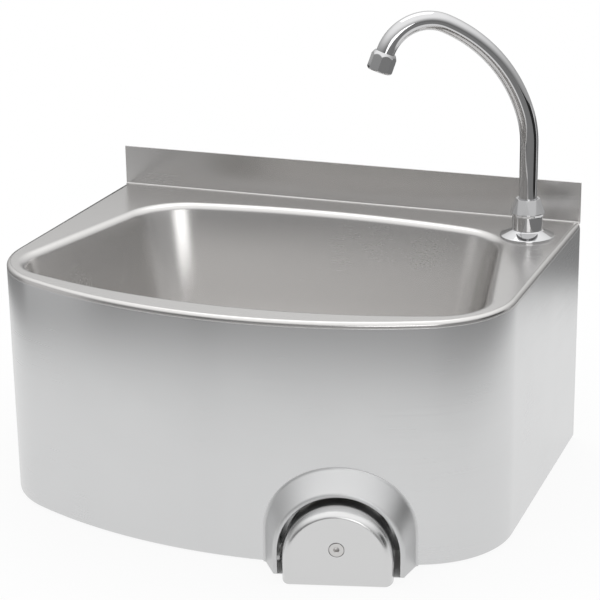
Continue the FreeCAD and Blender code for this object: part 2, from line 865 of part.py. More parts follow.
def waste_parts(model):
    """Strainer, its screw, two seals and the threaded tail under the bowl."""
    place = waste_place(model)
    seat = "-waste_recess_depth"
    cover = f"{seat} + waste_seal_thickness"
    crest = f"{cover} + strainer_thickness"
    model.turned(
        "waste_seal_upper",
        [
            ("waste_seal_bore", seat),
            ("strainer_radius - 2", seat),
            ("strainer_radius - 2", cover),
            ("waste_seal_bore", cover),
        ],
        place,
    )
    strainer = model.turned(
        "waste_strainer",
        [
            ("waste_screw_radius + fit", cover),
            ("strainer_radius", cover),
            ("strainer_radius", f"{cover} + strainer_thickness / 2"),
            ("strainer_radius - strainer_thickness", crest),
            ("waste_screw_radius + fit", crest),
        ],
        place,
    )
    first = model.ring(
        model.sketch(strainer, "XY_Plane", cover), "strainer_hole_radius", "strainer_hole_circle"
    )
    hole = model.pocket(strainer, first, "strainer_thickness * 2", both_ways=True)
    model.polar(strainer, hole, "strainer_hole_count")
    model.turned(
        "waste_screw",
        [
            ("0", f"{crest} - waste_screw_length"),
            ("waste_screw_radius", f"{crest} - waste_screw_length"),
            ("waste_screw_radius", crest),
            ("waste_screw_head_radius", crest),
            ("waste_screw_head_radius", f"{crest} + waste_screw_head_height / 2"),
            ("waste_screw_head_radius / 2", f"{crest} + waste_screw_head_height"),
            ("0", f"{crest} + waste_screw_head_height"),
        ],
        place,
    )
    under = "-waste_recess_depth - sheet_thickness"
    ledge = f"{under} - waste_lower_seal_thickness"
    model.turned(
        "waste_seal_lower",
        [
            ("waste_seal_bore", ledge),
            ("waste_flange_radius - 1", ledge),
            ("waste_flange_radius - 1", under),
            ("waste_seal_bore", under),
        ],
        place,
    )
    bottom = f"{ledge} - waste_cup_depth"
    neck = f"{bottom} - waste_taper"
    tail = f"{neck} - waste_thread_length"
    cup = "waste_cup_radius - waste_cup_wall"
    body = model.turned(
        "waste_body",
        [
            ("waste_thread_bore", tail),
            ("waste_thread_radius", tail),
            ("waste_thread_radius", neck),
            ("waste_cup_radius", bottom),
            ("waste_cup_radius", f"{ledge} - waste_flange_thickness"),
            ("waste_flange_radius", f"{ledge} - waste_flange_thickness"),
            ("waste_flange_radius", ledge),
            (cup, ledge),
            (cup, bottom),
            ("waste_thread_bore", neck),
        ],
        place,
    )
    bridge = model.sketch(body, "XY_Plane", f"{bottom} + waste_taper / 2")
    half = "waste_bridge_width / 2"
    reach = f"{cup} + waste_cup_wall / 2"
    model.trace(
        bridge,
        [(f"-({reach})", f"-{half}"), (reach, f"-{half}"), (reach, half), (f"-({reach})", half)],
    )
    model.pad(body, bridge, "waste_bridge_height")
    boss = model.sketch(body, "XY_Plane", f"{bottom} + waste_taper / 2")
    model.pad(body, model.ring(boss, "waste_boss_radius"), "waste_bridge_height")
    thread = model.sketch(body, "XY_Plane", f"{bottom} + waste_taper / 2")
    model.ring(thread, "waste_screw_radius + fit")
    model.pocket(body, thread, "waste_bridge_height", reverse=True)


# ---------------------------------------------------------------- spout


def spout_base(model):
    """Flange, seal and threaded body on the deck, washer and nut under it."""
    place = spout_place(model)
    bore = "spout_thread_radius + fit"
    seal_space = "deck_seal_radius + gap"
    model.turned(
        "spout_flange",
        [
            (seal_space, "0"),
            ("flange_radius", "0"),
            ("flange_radius", "flange_edge"),
            ("flange_crown_radius", "flange_height - 1"),
            ("flange_crown_radius - 1", "flange_height"),
            (bore, "flange_height"),
            (bore, "deck_seal_thickness"),
            (seal_space, "deck_seal_thickness"),
        ],
        place,
    )
    model.turned(
        "deck_seal",
        [
            (bore, "0"),
            ("deck_seal_radius", "0"),
            ("deck_seal_radius", "deck_seal_thickness"),
            (bore, "deck_seal_thickness"),
        ],
        place,
    )
    top = "flange_height + collar_height"
    socket = f"{top} + union_thread_length - tube_socket_depth - gap"
    groove = "flange_height + collar_height + union_thread_length - swivel_seal_depth"
    groove_radius = "tube_radius + sliding_fit * 2 + swivel_seal_wire * 2"
    model.turned(
        "spout_body",
        [
            ("spout_bore_radius", "-spout_shank_length"),
            ("spout_thread_radius", "-spout_shank_length"),
            ("spout_thread_radius", "flange_height"),
            ("collar_radius", "flange_height"),
            ("collar_radius", top),
            ("union_thread_radius", top),
            ("union_thread_radius", f"{top} + union_thread_length"),
            ("tube_radius + sliding_fit", f"{top} + union_thread_length"),
            ("tube_radius + sliding_fit", f"{groove} + swivel_seal_wire"),
            (groove_radius, f"{groove} + swivel_seal_wire"),
            (groove_radius, f"{groove} - swivel_seal_wire"),
            ("tube_radius + sliding_fit", f"{groove} - swivel_seal_wire"),
            ("tube_radius + sliding_fit", socket),
            ("spout_bore_radius", socket),
        ],
        place,
    )
    seal_height = model.value(groove)
    model.torus(
        "swivel_seal",
        "tube_radius + sliding_fit + swivel_seal_wire",
        "swivel_seal_wire - sliding_fit / 2",
        place * place_at(0, 0, seal_height),
    )
    under = "-sheet_thickness"
    model.turned(
        "shank_washer",
        [
            (bore, f"{under} - shank_washer_thickness"),
            ("shank_washer_radius", f"{under} - shank_washer_thickness"),
            ("shank_washer_radius", under),
            (bore, under),
        ],
        place,
    )
    nut(
        model,
        "shank_nut",
        "shank_nut_flats",
        f"{under} - shank_washer_thickness - shank_nut_height",
        "shank_nut_height",
        bore,
        place,
    )


def nut(model, label, flats, bottom, height, bore, place, through=None, grip=None):
    """A hexagon nut with turned corners.

    A blind thread of length grip is bored from the bottom, and the hole through the
    rest is narrower. Without them the bore runs right through.
    """
    corner = f"({flats}) / 2 / cos(30 deg)"
    face = f"({flats}) / 2 - 0.4"
    bevel = f"(({corner}) - ({face})) / 2"
    inner = through or bore
    top = f"{bottom} + {height}"
    profile = [
        (bore, bottom),
        (face, bottom),
        (corner, f"{bottom} + {bevel}"),
        (corner, f"{top} - {bevel}"),
        (face, top),
        (inner, top),
    ]
    if grip:
        profile += [(inner, f"{bottom} + {grip}"), (bore, f"{bottom} + {grip}")]
    body = model.turned(label, profile, place)
    model.cut_flats(body, flats, bottom, height)
    return body


def faceted_cone(low_radius, high_radius, bottom, height, count):
    """A cone with flat faces, as wide across them as its two radii say."""

    def outline(radius, z):
        """A regular polygon of an inner radius."""
        reach = radius / math.cos(math.pi / count)
        turns = [2 * math.pi * (index + 0.5) / count for index in range(count)]
        corners = [Vector(reach * math.cos(turn), reach * math.sin(turn), z) for turn in turns]
        return Part.makePolygon(corners + corners[:1])

    return Part.makeLoft([outline(low_radius, bottom), outline(high_radius, bottom + height)], True, True)


def union_nut(model):
    """Union nut on the spout's body: eight leaning flats over a round rim."""
    value = model.value
    low = value("flange_height + collar_height")
    tall = value("union_height")
    rim = value("union_rim_height")
    wide = value("union_rim_radius")
    narrow = value("union_top_radius")
    thread = value("union_thread_radius + fit")
    grip = value("union_thread_length")
    lean = (wide - narrow) / (tall - rim)
    base = Part.makeCone(wide - rim / 3, wide, rim, UP * low)
    crown = narrow + value("union_edge")
    cone = Part.makeCone(wide, crown, tall - rim, UP * (low + rim))
    shave = value("union_shave")
    count = int(value("union_flat_count"))
    flats = faceted_cone(wide - shave + lean * rim, narrow - shave, low, tall, count)
    blank = base.fuse(cone.common(flats)).removeSplitter()
    bore = Part.makeCylinder(value("tube_radius + union_play"), tall * 2, UP * (low - 1))
    blank = blank.cut(bore).cut(Part.makeCylinder(thread, grip + 1, UP * (low - 1)))
    return model.solid("union_nut", blank, spout_place(model))


def neck_arcs(model):
    """The spout's bends, from its rise to its mouth: (radius, angle) pairs."""
    names = ("lean", "sweep", "hook")
    return [(model.value(f"tube_{n}_radius"), model.value(f"tube_{n}_angle")) for n in names]


def neck_path(model):
    """Corner points and middles of the neck's centreline, in the spout's XZ plane."""
    start = model.value("flange_height + collar_height + union_thread_length - tube_socket_depth")
    points = [Vector(0, 0, start), Vector(0, 0, model.value("tube_rise"))]
    heading = 0
    arcs = []
    for radius, angle in neck_arcs(model):
        centre = points[-1] + Vector(math.cos(heading), 0, -math.sin(heading)) * radius

        def at(turn):
            """Point of the arc at a heading."""
            return centre - Vector(math.cos(turn), 0, -math.sin(turn)) * radius

        turned = heading + math.radians(angle)
        arcs.append((points[-1], at((heading + turned) / 2), at(turned)))
        points.append(at(turned))
        heading = turned
    along = Vector(math.sin(heading), 0, math.cos(heading))
    return points[:2], arcs, along


def mouth_place(model):
    """At the end of the neck, with Z along it, out of the spout."""
    _, arcs, along = neck_path(model)
    end = arcs[-1][2] + along * model.value("tube_end")
    return spout_place(model) * Placement(end, Rotation(UP, along))


def spout_tube(model):
    """Swan neck: one tube, bent on three radii."""
    rise, arcs, along = neck_path(model)
    edges = [Part.LineSegment(*rise).toShape()]
    edges += [arc_through(*arc) for arc in arcs]
    edges.append(Part.LineSegment(arcs[-1][2], arcs[-1][2] + along * model.value("tube_end")).toShape())
    outer = model.value("tube_radius")
    inner = outer - model.value("tube_wall")
    tube = swept(edges, rise[0], UP, outer).cut(swept(edges, rise[0], UP, inner))
    return model.solid("spout_tube", tube, spout_place(model))


def swept(edges, start, direction, radius):
    """A round bar of a radius along a smooth path."""
    ring = Part.Wire([Part.Circle(start, direction, radius).toShape()])
    return Part.Wire(edges).makePipeShell([ring], True, False)


def aerator(model):
    """Faceted housing at the mouth, with its insert and seal."""
    value = model.value
    place = mouth_place(model)
    flats = value("aerator_flats") / 2
    shoulder = value("aerator_shoulder")
    length = value("aerator_length")
    chamfer = value("aerator_rim_chamfer")
    top = value("aerator_top_radius")
    count = int(value("aerator_flat_count"))
    wide = flats / math.cos(math.pi / count) + value("aerator_edge")
    start = -value("tube_end")
    straight = length - shoulder - chamfer
    blank = Part.makeCone(top, wide, shoulder, UP * start)
    blank = blank.fuse(Part.makeCylinder(wide, straight, UP * (start + shoulder)))
    lip = Part.makeCone(wide, wide - chamfer, chamfer, UP * (start + length - chamfer))
    prism = faceted_cone(flats, flats, start, length, count)
    blank = blank.fuse(lip).common(prism).removeSplitter()
    tube = Part.makeCylinder(value("tube_radius + fit"), value("tube_end"), UP * start)
    depth = value("aerator_bore_depth")
    bore = Part.makeCylinder(value("aerator_bore_radius"), depth, UP * (start + length - depth))
    throat = Part.makeCylinder(value("spout_bore_radius"), length, UP * start)
    model.solid("aerator_housing", blank.cut(tube).cut(bore).cut(throat), place)
    outlet = "aerator_length - tube_end - aerator_inset"
    insert_back = f"{outlet} - aerator_insert_thickness"
    insert = model.turned(
        "aerator_insert",
        [
            ("0", insert_back),
            ("aerator_bore_radius - fit", insert_back),
            ("aerator_bore_radius - fit", outlet),
            ("aerator_bore_radius - 1.5", outlet),
            ("aerator_bore_radius - 1.5", f"{outlet} - 1"),
            ("0", f"{outlet} - 1"),
        ],
        place,
    )
    for circle, count in (("2.7", "6"), ("5.4", "12")):
        spot = model.ring(model.sketch(insert, "XY_Plane", insert_back), "aerator_hole_radius", circle)
        hole = model.pocket(insert, spot, "aerator_insert_thickness * 3", both_ways=True)
        model.polar(insert, hole, count)
    seal_back = "aerator_length - tube_end - aerator_bore_depth"
    model.turned(
        "aerator_seal",
        [
            ("spout_bore_radius", seal_back),
            ("aerator_bore_radius - fit", seal_back),
            ("aerator_bore_radius - fit", f"{seal_back} + aerator_seal_thickness"),
            ("spout_bore_radius", f"{seal_back} + aerator_seal_thickness"),
        ],
        place,
    )


# ---------------------------------------------------------------- knee unit


def knee_pad(model):
    """Pressed pad: half round over straight sides, with a rolled edge, hollow behind."""
    value = model.value
    front = -value("pad_projection")
    foot = knee_foot(model)

    def block(inset, start, depth, roll, corner):
        """The pad's solid form, drawn in by inset."""
        outline = arch(model, value("pad_radius") - inset, value("pad_centre"), start, foot + inset)
        form = Part.Face(outline).extrude(Vector(0, depth, 0))
        feet = []
        for edge in form.Edges:
            box = edge.BoundBox
            if abs(box.YLength - depth) < NEAR and box.ZMax < foot + inset + NEAR:
                feet.append(edge)
        form = form.makeFillet(corner, feet)
        face = [e for e in form.Edges if e.BoundBox.YMax < start + NEAR]
        return form.makeFillet(roll, face)

    wall = value("pad_wall")
    roll = value("pad_roll")
    corner = value("pad_corner")
    depth = value("pad_depth")
    outer = block(0, front, depth, roll, corner)
    inner = block(wall, front + wall, depth, roll - wall, corner - wall)
    pad = outer.cut(inner)
    head = value("pad_screw_head_radius + hole_play")
    through = Part.makeCone(head, head - wall, wall, Vector(0, front, 0), Vector(0, 1, 0))
    return model.solid("knee_pad", pad.cut(through), knee_place(model))


def push_parts(model):
    """Screw, rod, piston and seal that move with the pad, along the push axis."""
    place = push_place(model)
    face = "-pad_projection"
    sink = "pad_screw_head_radius - pad_screw_radius"
    head = model.turned(
        "pad_screw",
        [
            ("0", face),
            ("pad_screw_head_radius", face),
            ("pad_screw_radius", f"{face} + {sink}"),
            ("pad_screw_radius", f"{face} + pad_screw_length"),
            ("0", f"{face} + pad_screw_length"),
        ],
        place,
    )
    key = model.polygon(model.sketch(head, "XY_Plane", face), "pad_socket_flats", 6)
    model.pocket(head, key, "pad_socket_depth", reverse=True)
    back = f"{face} + pad_wall"
    hole = "pad_screw_radius + fit"
    cone = "pad_screw_head_radius - pad_wall + hole_play"
    depth = f"{face} + pad_screw_length + gap"
    model.turned(
        "push_rod",
        [
            ("0", depth),
            (hole, depth),
            (hole, f"{back} + {cone} - ({hole})"),
            (cone, back),
            ("rod_flange_radius", back),
            ("rod_flange_radius", f"{back} + rod_flange_thickness"),
            ("rod_radius", f"{back} + rod_flange_thickness"),
            ("rod_radius", "piston_start"),
            ("rod_radius - 1", "piston_start"),
            ("rod_radius - 1", "rod_tail"),
            ("0", "rod_tail"),
        ],
        place,
    )
    groove = "piston_radius - piston_seal_wire * 2"
    middle = "piston_start + piston_length / 2"
    model.turned(
        "valve_piston",
        [
            ("rod_radius - 1 + sliding_fit", "piston_start"),
            ("piston_radius", "piston_start"),
            ("piston_radius", f"{middle} - piston_seal_wire"),
            (groove, f"{middle} - piston_seal_wire"),
            (groove, f"{middle} + piston_seal_wire"),
            ("piston_radius", f"{middle} + piston_seal_wire"),
            ("piston_radius", "piston_start + piston_length"),
            ("rod_radius - 1 + sliding_fit", "piston_start + piston_length"),
        ],
        place,
    )
    wire = "piston_seal_wire - sliding_fit"
    model.torus(
        "piston_seal",
        f"chamber_radius - sliding_fit - ({wire})",
        wire,
        place * place_at(0, 0, model.value(middle)),
    )


def valve_carrier(model):
    """Channel welded behind the opening; its web holds the valve's neck."""
    value = model.value
    half = value("carrier_half_width")
    thick = value("carrier_thickness")
    back = value("carrier_setback")
    low = knee_foot(model) + value("apron_foot_bend + gap")
    tall = value("carrier_rise") - low
    outer = Part.makeBox(half * 2, back + thick, tall, Vector(-half, 0, low))
    inner = Part.makeBox((half - thick) * 2, back + 1, tall, Vector(thick - half, -1, low))
    hole = value("neck_radius + hole_play")
    neck = Part.makeCylinder(hole, thick * 4, Vector(0, back - thick, 0), Vector(0, 1, 0))
    channel = outer.cut(inner).cut(neck)
    radius = value("front_arc_radius - sheet_thickness")
    drum = Part.makeCylinder(radius, tall * 3, Vector(0, value("front_arc_radius"), low - tall))
    return model.solid("valve_carrier", channel.common(drum), knee_place(model))


def return_spring(model):
    """Coil spring between the rod's flange and the neck's nut."""
    value = model.value
    radius = value("spring_radius")
    wire = value("spring_wire")
    turns = int(value("spring_turns"))
    start = value("-pad_projection + pad_wall + rod_flange_thickness + gap") + wire
    end = value("carrier_setback - neck_reach - bush_flange_thickness - gap") - wire
    pitch = (end - start) / turns

    def point(turn):
        """Point of the coil's centreline after some turns."""
        angle = 2 * math.pi * turn
        return Vector(radius * math.cos(angle), radius * math.sin(angle), start + pitch * turn)

    def heading(turn):
        """Direction of the centreline after some turns."""
        angle = 2 * math.pi * turn
        rise = pitch / (2 * math.pi)
        return Vector(-radius * math.sin(angle), radius * math.cos(angle), rise).normalize()

    edges = []
    steps = turns * 4
    for step in range(steps):
        first = step * turns / steps
        last = (step + 1) * turns / steps
        edges += biarc(point(first), heading(first), point(last), heading(last))
    coil = swept(edges, point(0), heading(0), wire)
    per_turn = COIL_SAMPLES // turns
    samples = [point(index / per_turn) for index in range(turns * per_turn + 1)]
    far = per_turn * 3 // 4
    nearest = min((a - b).Length for index, a in enumerate(samples) for b in samples[index + far :])
    print("return_spring least gap between turns", round(nearest - 2 * wire, 2), "mm")
    return model.solid("return_spring", coil, push_place(model))


def biarc(start, start_way, end, end_way):
    """Two arcs that join two points with the directions given there."""
    chord = end - start
    ways = start_way + end_way
    bend = 2 * (1 - start_way.dot(end_way))
    along = chord.dot(ways)
    reach = (math.sqrt(along**2 + bend * chord.dot(chord)) - along) / bend
    middle = (start + start_way * reach + end - end_way * reach) * 0.5
    return [tangent_arc(start, start_way, middle), tangent_arc(end, end_way * -1, middle, True)]


def tangent_arc(start, way, end, backwards=False):
    """The arc that leaves start in a direction and ends at end."""
    chord = end - start
    half = chord.Length / 2
    unit = chord * (1 / chord.Length)
    across = way - unit * way.dot(unit)
    swing = math.atan2(across.Length, way.dot(unit))
    middle = start + chord * 0.5 + across.normalize() * (half * math.tan(swing / 2))
    ends = (end, middle, start) if backwards else (start, middle, end)
    return arc_through(*ends)


def valve_parts(model):
    """Body of the self-closing valve with its neck nut, bush and end cap."""
    place = push_place(model)
    web_back = "carrier_setback + carrier_thickness"
    neck_end = "carrier_setback - neck_reach"
    end = f"{web_back} + valve_length"
    bush_bore = "bush_radius + fit"
    body = model.turned(
        "valve_body",
        [
            (bush_bore, neck_end),
            ("neck_radius", neck_end),
            ("neck_radius", web_back),
            ("valve_radius", web_back),
            ("valve_radius", end),
            ("chamber_radius", end),
            ("chamber_radius", "chamber_start"),
            (bush_bore, "chamber_start"),
        ],
        place,
    )
    shoulders = model.sketch(body, "YZ_Plane")
    model.ring(shoulders, "port_radius", "0", "port_setback")
    model.pad(body, shoulders, "port_shoulder * 2", both_ways=True)
    threads = model.sketch(body, "YZ_Plane")
    model.ring(threads, "port_thread_radius", "0", "port_setback")
    model.pad(body, threads, "(port_shoulder + port_thread_length) * 2", both_ways=True)
    bores = model.sketch(body, "YZ_Plane")
    model.ring(bores, "port_bore_radius", "0", "port_setback")
    model.pocket(body, bores, "(port_shoulder + port_thread_length) * 3", both_ways=True)
    clear = model.sketch(body, "XY_Plane", "chamber_start")
    model.ring(clear, "chamber_radius")
    model.pocket(body, clear, f"{end} - chamber_start + cap_head", reverse=True)
    nut(
        model,
        "neck_nut",
        "neck_nut_flats",
        "carrier_setback - neck_nut_height",
        "neck_nut_height",
        "neck_radius + fit",
        place,
    )
    rod_bore = "rod_radius + sliding_fit"
    model.turned(
        "guide_bush",
        [
            (rod_bore, f"{neck_end} - bush_flange_thickness"),
            ("bush_flange_radius", f"{neck_end} - bush_flange_thickness"),
            ("bush_flange_radius", neck_end),
            ("bush_radius", neck_end),
            ("bush_radius", f"{neck_end} + bush_length"),
            (rod_bore, f"{neck_end} + bush_length"),
        ],
        place,
    )
    cap = model.turned(
        "valve_cap",
        [
            ("0", "chamber_end"),
            ("chamber_radius - fit", "chamber_end"),
            ("chamber_radius - fit", end),
            ("cap_flats / 2 / cos(30 deg)", end),
            ("cap_flats / 2 / cos(30 deg)", f"{end} + cap_head - 2"),
            ("cap_flats / 2 - 0.4", f"{end} + cap_head"),
            ("0", f"{end} + cap_head"),
        ],
        place,
    )
    model.cut_flats(cap, "cap_flats", end, "cap_head")


# ---------------------------------------------------------------- mixer


def mixer_right(model):
    """X of the mixer's shoulder in the knee frame; its thread faces the valve."""
    return -model.value("port_shoulder + port_thread_length * 2 + link_gap")


def mixer_parts(model):
    """Mixer on the valve's left port, with check valves, filters, spindle and knob."""
    shoulder = mixer_right(model)
    place = port_place(model, shoulder) * place_at(0, 0, 0, Vector(1, 0, 0), 180)
    body = model.turned(
        "mixer_body",
        [
            ("port_bore_radius", "-port_thread_length"),
            ("port_thread_radius", "-port_thread_length"),
            ("port_thread_radius", "0"),
            ("mixer_radius", "0"),
            ("mixer_radius", "mixer_length"),
            ("spindle_radius + sliding_fit", "mixer_length"),
            ("spindle_radius + sliding_fit", "mixer_length - mixer_wall * 2"),
            ("mixer_radius - mixer_wall", "mixer_length - mixer_wall * 2"),
            ("mixer_radius - mixer_wall", "mixer_wall"),
            ("port_bore_radius", "mixer_wall"),
        ],
        place,
    )
    boss_end = "inlet_boss_reach"
    for offset in ("inlet_near", "inlet_near + inlet_pitch"):
        boss = model.sketch(body, "XZ_Plane")
        model.ring(boss, "inlet_boss_radius", "0", offset)
        model.pad(body, boss, boss_end)
        bore = model.sketch(body, "XZ_Plane")
        model.ring(bore, "check_spigot_radius + fit", "0", offset)
        model.pocket(body, bore, boss_end, reverse=True)
    chamber = model.sketch(body, "XY_Plane", "mixer_wall")
    model.ring(chamber, "mixer_radius - mixer_wall")
    model.pocket(body, chamber, "mixer_length - mixer_wall * 3", reverse=True)
    for name, offset in (("cold", "inlet_near"), ("hot", "inlet_near + inlet_pitch")):
        check_valve(model, name, shoulder - model.value(offset))
    gap_centre = model.value("-port_shoulder - port_thread_length - link_gap / 2")
    nut(
        model,
        "link_nut",
        "link_nut_flats",
        "-link_nut_length / 2",
        "link_nut_length",
        "port_thread_radius + fit",
        port_place(model, gap_centre),
    )
    model.turned(
        "link_seal",
        [
            ("port_bore_radius", "-link_gap / 2"),
            ("port_thread_radius", "-link_gap / 2"),
            ("port_thread_radius", "link_gap / 2"),
            ("port_bore_radius", "link_gap / 2"),
        ],
        port_place(model, gap_centre),
    )
    temperature_control(model, place)


def check_valve(model, name, x):
    """Check valve in one inlet: spigot, hexagon and thread; its filter is inside."""
    place = inlet_place(model, x)
    seat = "inlet_boss_reach"
    hexagon = f"{seat} + check_hex_length"
    mouth = f"{hexagon} + check_thread_length"
    body = model.turned(
        f"{name}_check_valve",
        [
            ("check_bore_radius", f"{seat} - check_spigot_length"),
            ("check_spigot_radius", f"{seat} - check_spigot_length"),
            ("check_spigot_radius", seat),
            ("check_flats / 2 / cos(30 deg)", seat),
            ("check_flats / 2 / cos(30 deg)", hexagon),
            ("port_thread_radius", hexagon),
            ("port_thread_radius", mouth),
            ("check_bore_radius", mouth),
        ],
        place,
    )
    model.cut_flats(body, "check_flats", seat, "check_hex_length")
    model.turned(
        f"{name}_filter",
        [
            ("0", f"{mouth} - filter_inset - filter_thickness"),
            ("check_bore_radius - sliding_fit", f"{mouth} - filter_inset - filter_thickness"),
            ("check_bore_radius - sliding_fit", f"{mouth} - filter_inset"),
            ("0", f"{mouth} - filter_inset"),
        ],
        place,
    )


def temperature_control(model, place):
    """Spindle in the mixer's end, the fluted knob on it and its screw."""
    end = "mixer_length"
    knob_back = f"{end} + knob_gap"
    face = f"{knob_back} + knob_length"
    floor = f"{face} - 5"
    model.turned(
        "mixer_spindle",
        [
            ("0", f"{end} - spindle_depth"),
            ("mixer_radius - mixer_wall - gap", f"{end} - spindle_depth"),
            ("mixer_radius - mixer_wall - gap", f"{end} - mixer_wall * 2 - gap"),
            ("spindle_radius", f"{end} - mixer_wall * 2 - gap"),
            ("spindle_radius", floor),
            ("knob_screw_radius + fit", floor),
            ("knob_screw_radius + fit", f"{floor} - 10"),
            ("0", f"{floor} - 10"),
        ],
        place,
    )
    knob = model.turned(
        "temperature_knob",
        [
            ("spindle_radius + fit", knob_back),
            ("knob_radius", knob_back),
            ("knob_radius", f"{face} - 2"),
            ("knob_radius - 2", face, "2"),
            ("knob_screw_head + 1", face),
            ("knob_screw_head + 1", floor),
            ("spindle_radius + fit", floor),
        ],
        place,
    )
    flute = model.sketch(knob, "XY_Plane", knob_back)
    model.ring(flute, "knob_flute_radius", "knob_radius + knob_flute_radius / 2")
    cut = model.pocket(knob, flute, "knob_length", reverse=True)
    model.polar(knob, cut, "knob_flute_count")
    model.turned(
        "knob_screw",
        [
            ("0", f"{floor} - 8"),
            ("knob_screw_radius", f"{floor} - 8"),
            ("knob_screw_radius", floor),
            ("knob_screw_head", floor),
            ("knob_screw_head", f"{floor} + 1.5"),
            ("0", f"{floor} + 1.5"),
        ],
        place,
    )


# ---------------------------------------------------------------- outlet pipe


def pipe_ends(model):
    """Port end, side corner, lower corner and top of the pipe's route."""
    value = model.value
    height = value("deck_height - spout_shank_length - gap")
    foot = spout_place(model).Base
    low = knee_height(model)
    port = value("port_shoulder + port_thread_length + gap")
    setback = value("port_setback")
    frame = knee_place(model)
    start = frame.multVec(Vector(port, setback, 0))
    corner = frame.multVec(Vector(port + value("pipe_side_run"), setback, 0))
    return start, corner, Vector(foot.x, foot.y, low), Vector(foot.x, foot.y, height)


def outlet_pipe(model):
    """Bent pipe that takes the mixed water from the valve up to the spout."""
    value = model.value
    points = pipe_ends(model)
    bend = value("pipe_bend_radius")
    edges = []
    here = points[0]
    for before, corner, after in zip(points, points[1:], points[2:]):
        arrive = (corner - before).normalize()
        leave = (after - corner).normalize()
        turn = arrive.getAngle(leave)
        back = bend * math.tan(turn / 2)
        first = corner - arrive * back
        last = corner + leave * back
        inward = (leave - arrive).normalize()
        middle = corner + inward * (bend / math.cos(turn / 2) - bend)
        edges.append(Part.LineSegment(here, first).toShape())
        edges.append(arc_through(first, middle, last))
        here = last
    edges.append(Part.LineSegment(here, points[-1]).toShape())
    radius = value("pipe_radius")
    way = (points[1] - points[0]).normalize()
    pipe = swept(edges, points[0], way, radius)
    bore = swept(edges, points[0], way, radius - value("pipe_wall"))
    model.solid("outlet_pipe", pipe.cut(bore))
    thread = "port_thread_radius + fit"
    bore_fit = "pipe_radius + fit"
    valve_end = port_place(model, value("port_shoulder + port_thread_length"))
    shank_end = spout_place(model) * place_at(0, 0, -value("spout_shank_length"), Vector(1, 0, 0), 180)
    for name, place in (("valve", valve_end), ("spout", shank_end)):
        nut(
            model,
            f"{name}_pipe_nut",
            "pipe_nut_flats",
            "-pipe_nut_grip",
            "pipe_nut_length",
            thread,
            place,
            through=bore_fit,
            grip="pipe_nut_grip + gap + olive_length",
        )
        model.turned(
            f"{name}_olive",
            [
                (bore_fit, "gap"),
                ("olive_radius - 1.5", "gap"),
                ("olive_radius", "gap + olive_length / 2"),
                ("olive_radius - 1.5", "gap + olive_length"),
                (bore_fit, "gap + olive_length"),
            ],
            place,
        )


# ---------------------------------------------------------------- build and write


def check_document(model):
    """Stop if any object failed or any sub-part isn't a valid solid."""
    for item in model.doc.Objects:
        if "Invalid" in item.State or "Error" in item.State:
            raise ValueError(f"{item.Label} failed: {item.State}")
    for piece in model.pieces:
        if piece.Shape.isNull() or not piece.Shape.isValid() or not piece.Shape.Solids:
            raise ValueError(f"{piece.Label} is not a valid solid")


def write_parts(model):
    """Write one STEP file for each sub-part, and print what it holds."""
    os.makedirs("parts", exist_ok=True)
    for piece in model.pieces:
        shape = piece.Shape
        shape.exportStep(os.path.join("parts", f"{piece.Label}.step"))
        print(f"{piece.Label:20s} solids {len(shape.Solids)}  volume {shape.Volume:12.1f}")


def main():
    """Build the sink from the wall outwards and write its pieces."""
    model = Model()
    wall_bracket(model)
    hanging_rail(model)
    basin_top(model)
    apron(model)
    waste_parts(model)
    spout_base(model)
    union_nut(model)
    spout_tube(model)
    aerator(model)
    knee_collar(model)
    knee_pad(model)
    push_parts(model)
    valve_carrier(model)
    return_spring(model)
    valve_parts(model)
    mixer_parts(model)
    outlet_pipe(model)
    model.doc.recompute()
    check_document(model)
    write_parts(model)


main()
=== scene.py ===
"""Looks of a wall-hung stainless hand wash sink with a knee-operated tap.

Everything is in metres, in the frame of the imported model: +Z is up, the wall is the
plane y = 0, the sink stands out from it towards -Y, and +X is to the right of a
person who washes. The origin is the middle of the wall bracket's fixing holes.
"""

import json
import logging
import math
from dataclasses import dataclass
from enum import Enum
from typing import Callable, Optional, Sequence, Union

import bmesh
import bpy
import numpy as np
from mathutils import Matrix, Vector


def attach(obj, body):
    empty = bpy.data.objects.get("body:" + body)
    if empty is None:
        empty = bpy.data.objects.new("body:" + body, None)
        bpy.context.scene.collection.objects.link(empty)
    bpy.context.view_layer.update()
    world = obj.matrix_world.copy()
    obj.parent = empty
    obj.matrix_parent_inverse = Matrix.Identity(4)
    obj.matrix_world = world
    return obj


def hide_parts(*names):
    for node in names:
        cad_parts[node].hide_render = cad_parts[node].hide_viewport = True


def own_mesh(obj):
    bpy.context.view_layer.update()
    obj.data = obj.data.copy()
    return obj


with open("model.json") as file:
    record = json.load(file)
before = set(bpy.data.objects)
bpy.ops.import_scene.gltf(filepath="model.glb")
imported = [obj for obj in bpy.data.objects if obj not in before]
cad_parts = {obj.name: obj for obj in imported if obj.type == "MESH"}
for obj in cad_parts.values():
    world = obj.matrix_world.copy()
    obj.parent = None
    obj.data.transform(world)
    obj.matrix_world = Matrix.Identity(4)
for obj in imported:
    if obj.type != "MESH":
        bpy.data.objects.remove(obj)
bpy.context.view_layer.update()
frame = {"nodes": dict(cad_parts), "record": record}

LOG = logging.getLogger("hand_wash_sink")
MM = 0.001
NOISE_MEAN = 0.5
MIX_FACTOR = 0
MIX_FIRST = 6
MIX_SECOND = 7
MIX_RESULT = 2
WHITE = (1.0, 1.0, 1.0, 1.0)
ARC_STEPS = 6
GUARD_GAP = 0.35 * MM
GUARD_SHARE = 0.3
MERGE_GAP = 0.002 * MM
SLIVER = 0.001 * MM
CREASE = 38.0
THREAD_PLAY = 0.07 * MM
TUBE_PLAY = 0.1 * MM
SEAT_PLAY = 0.3 * MM

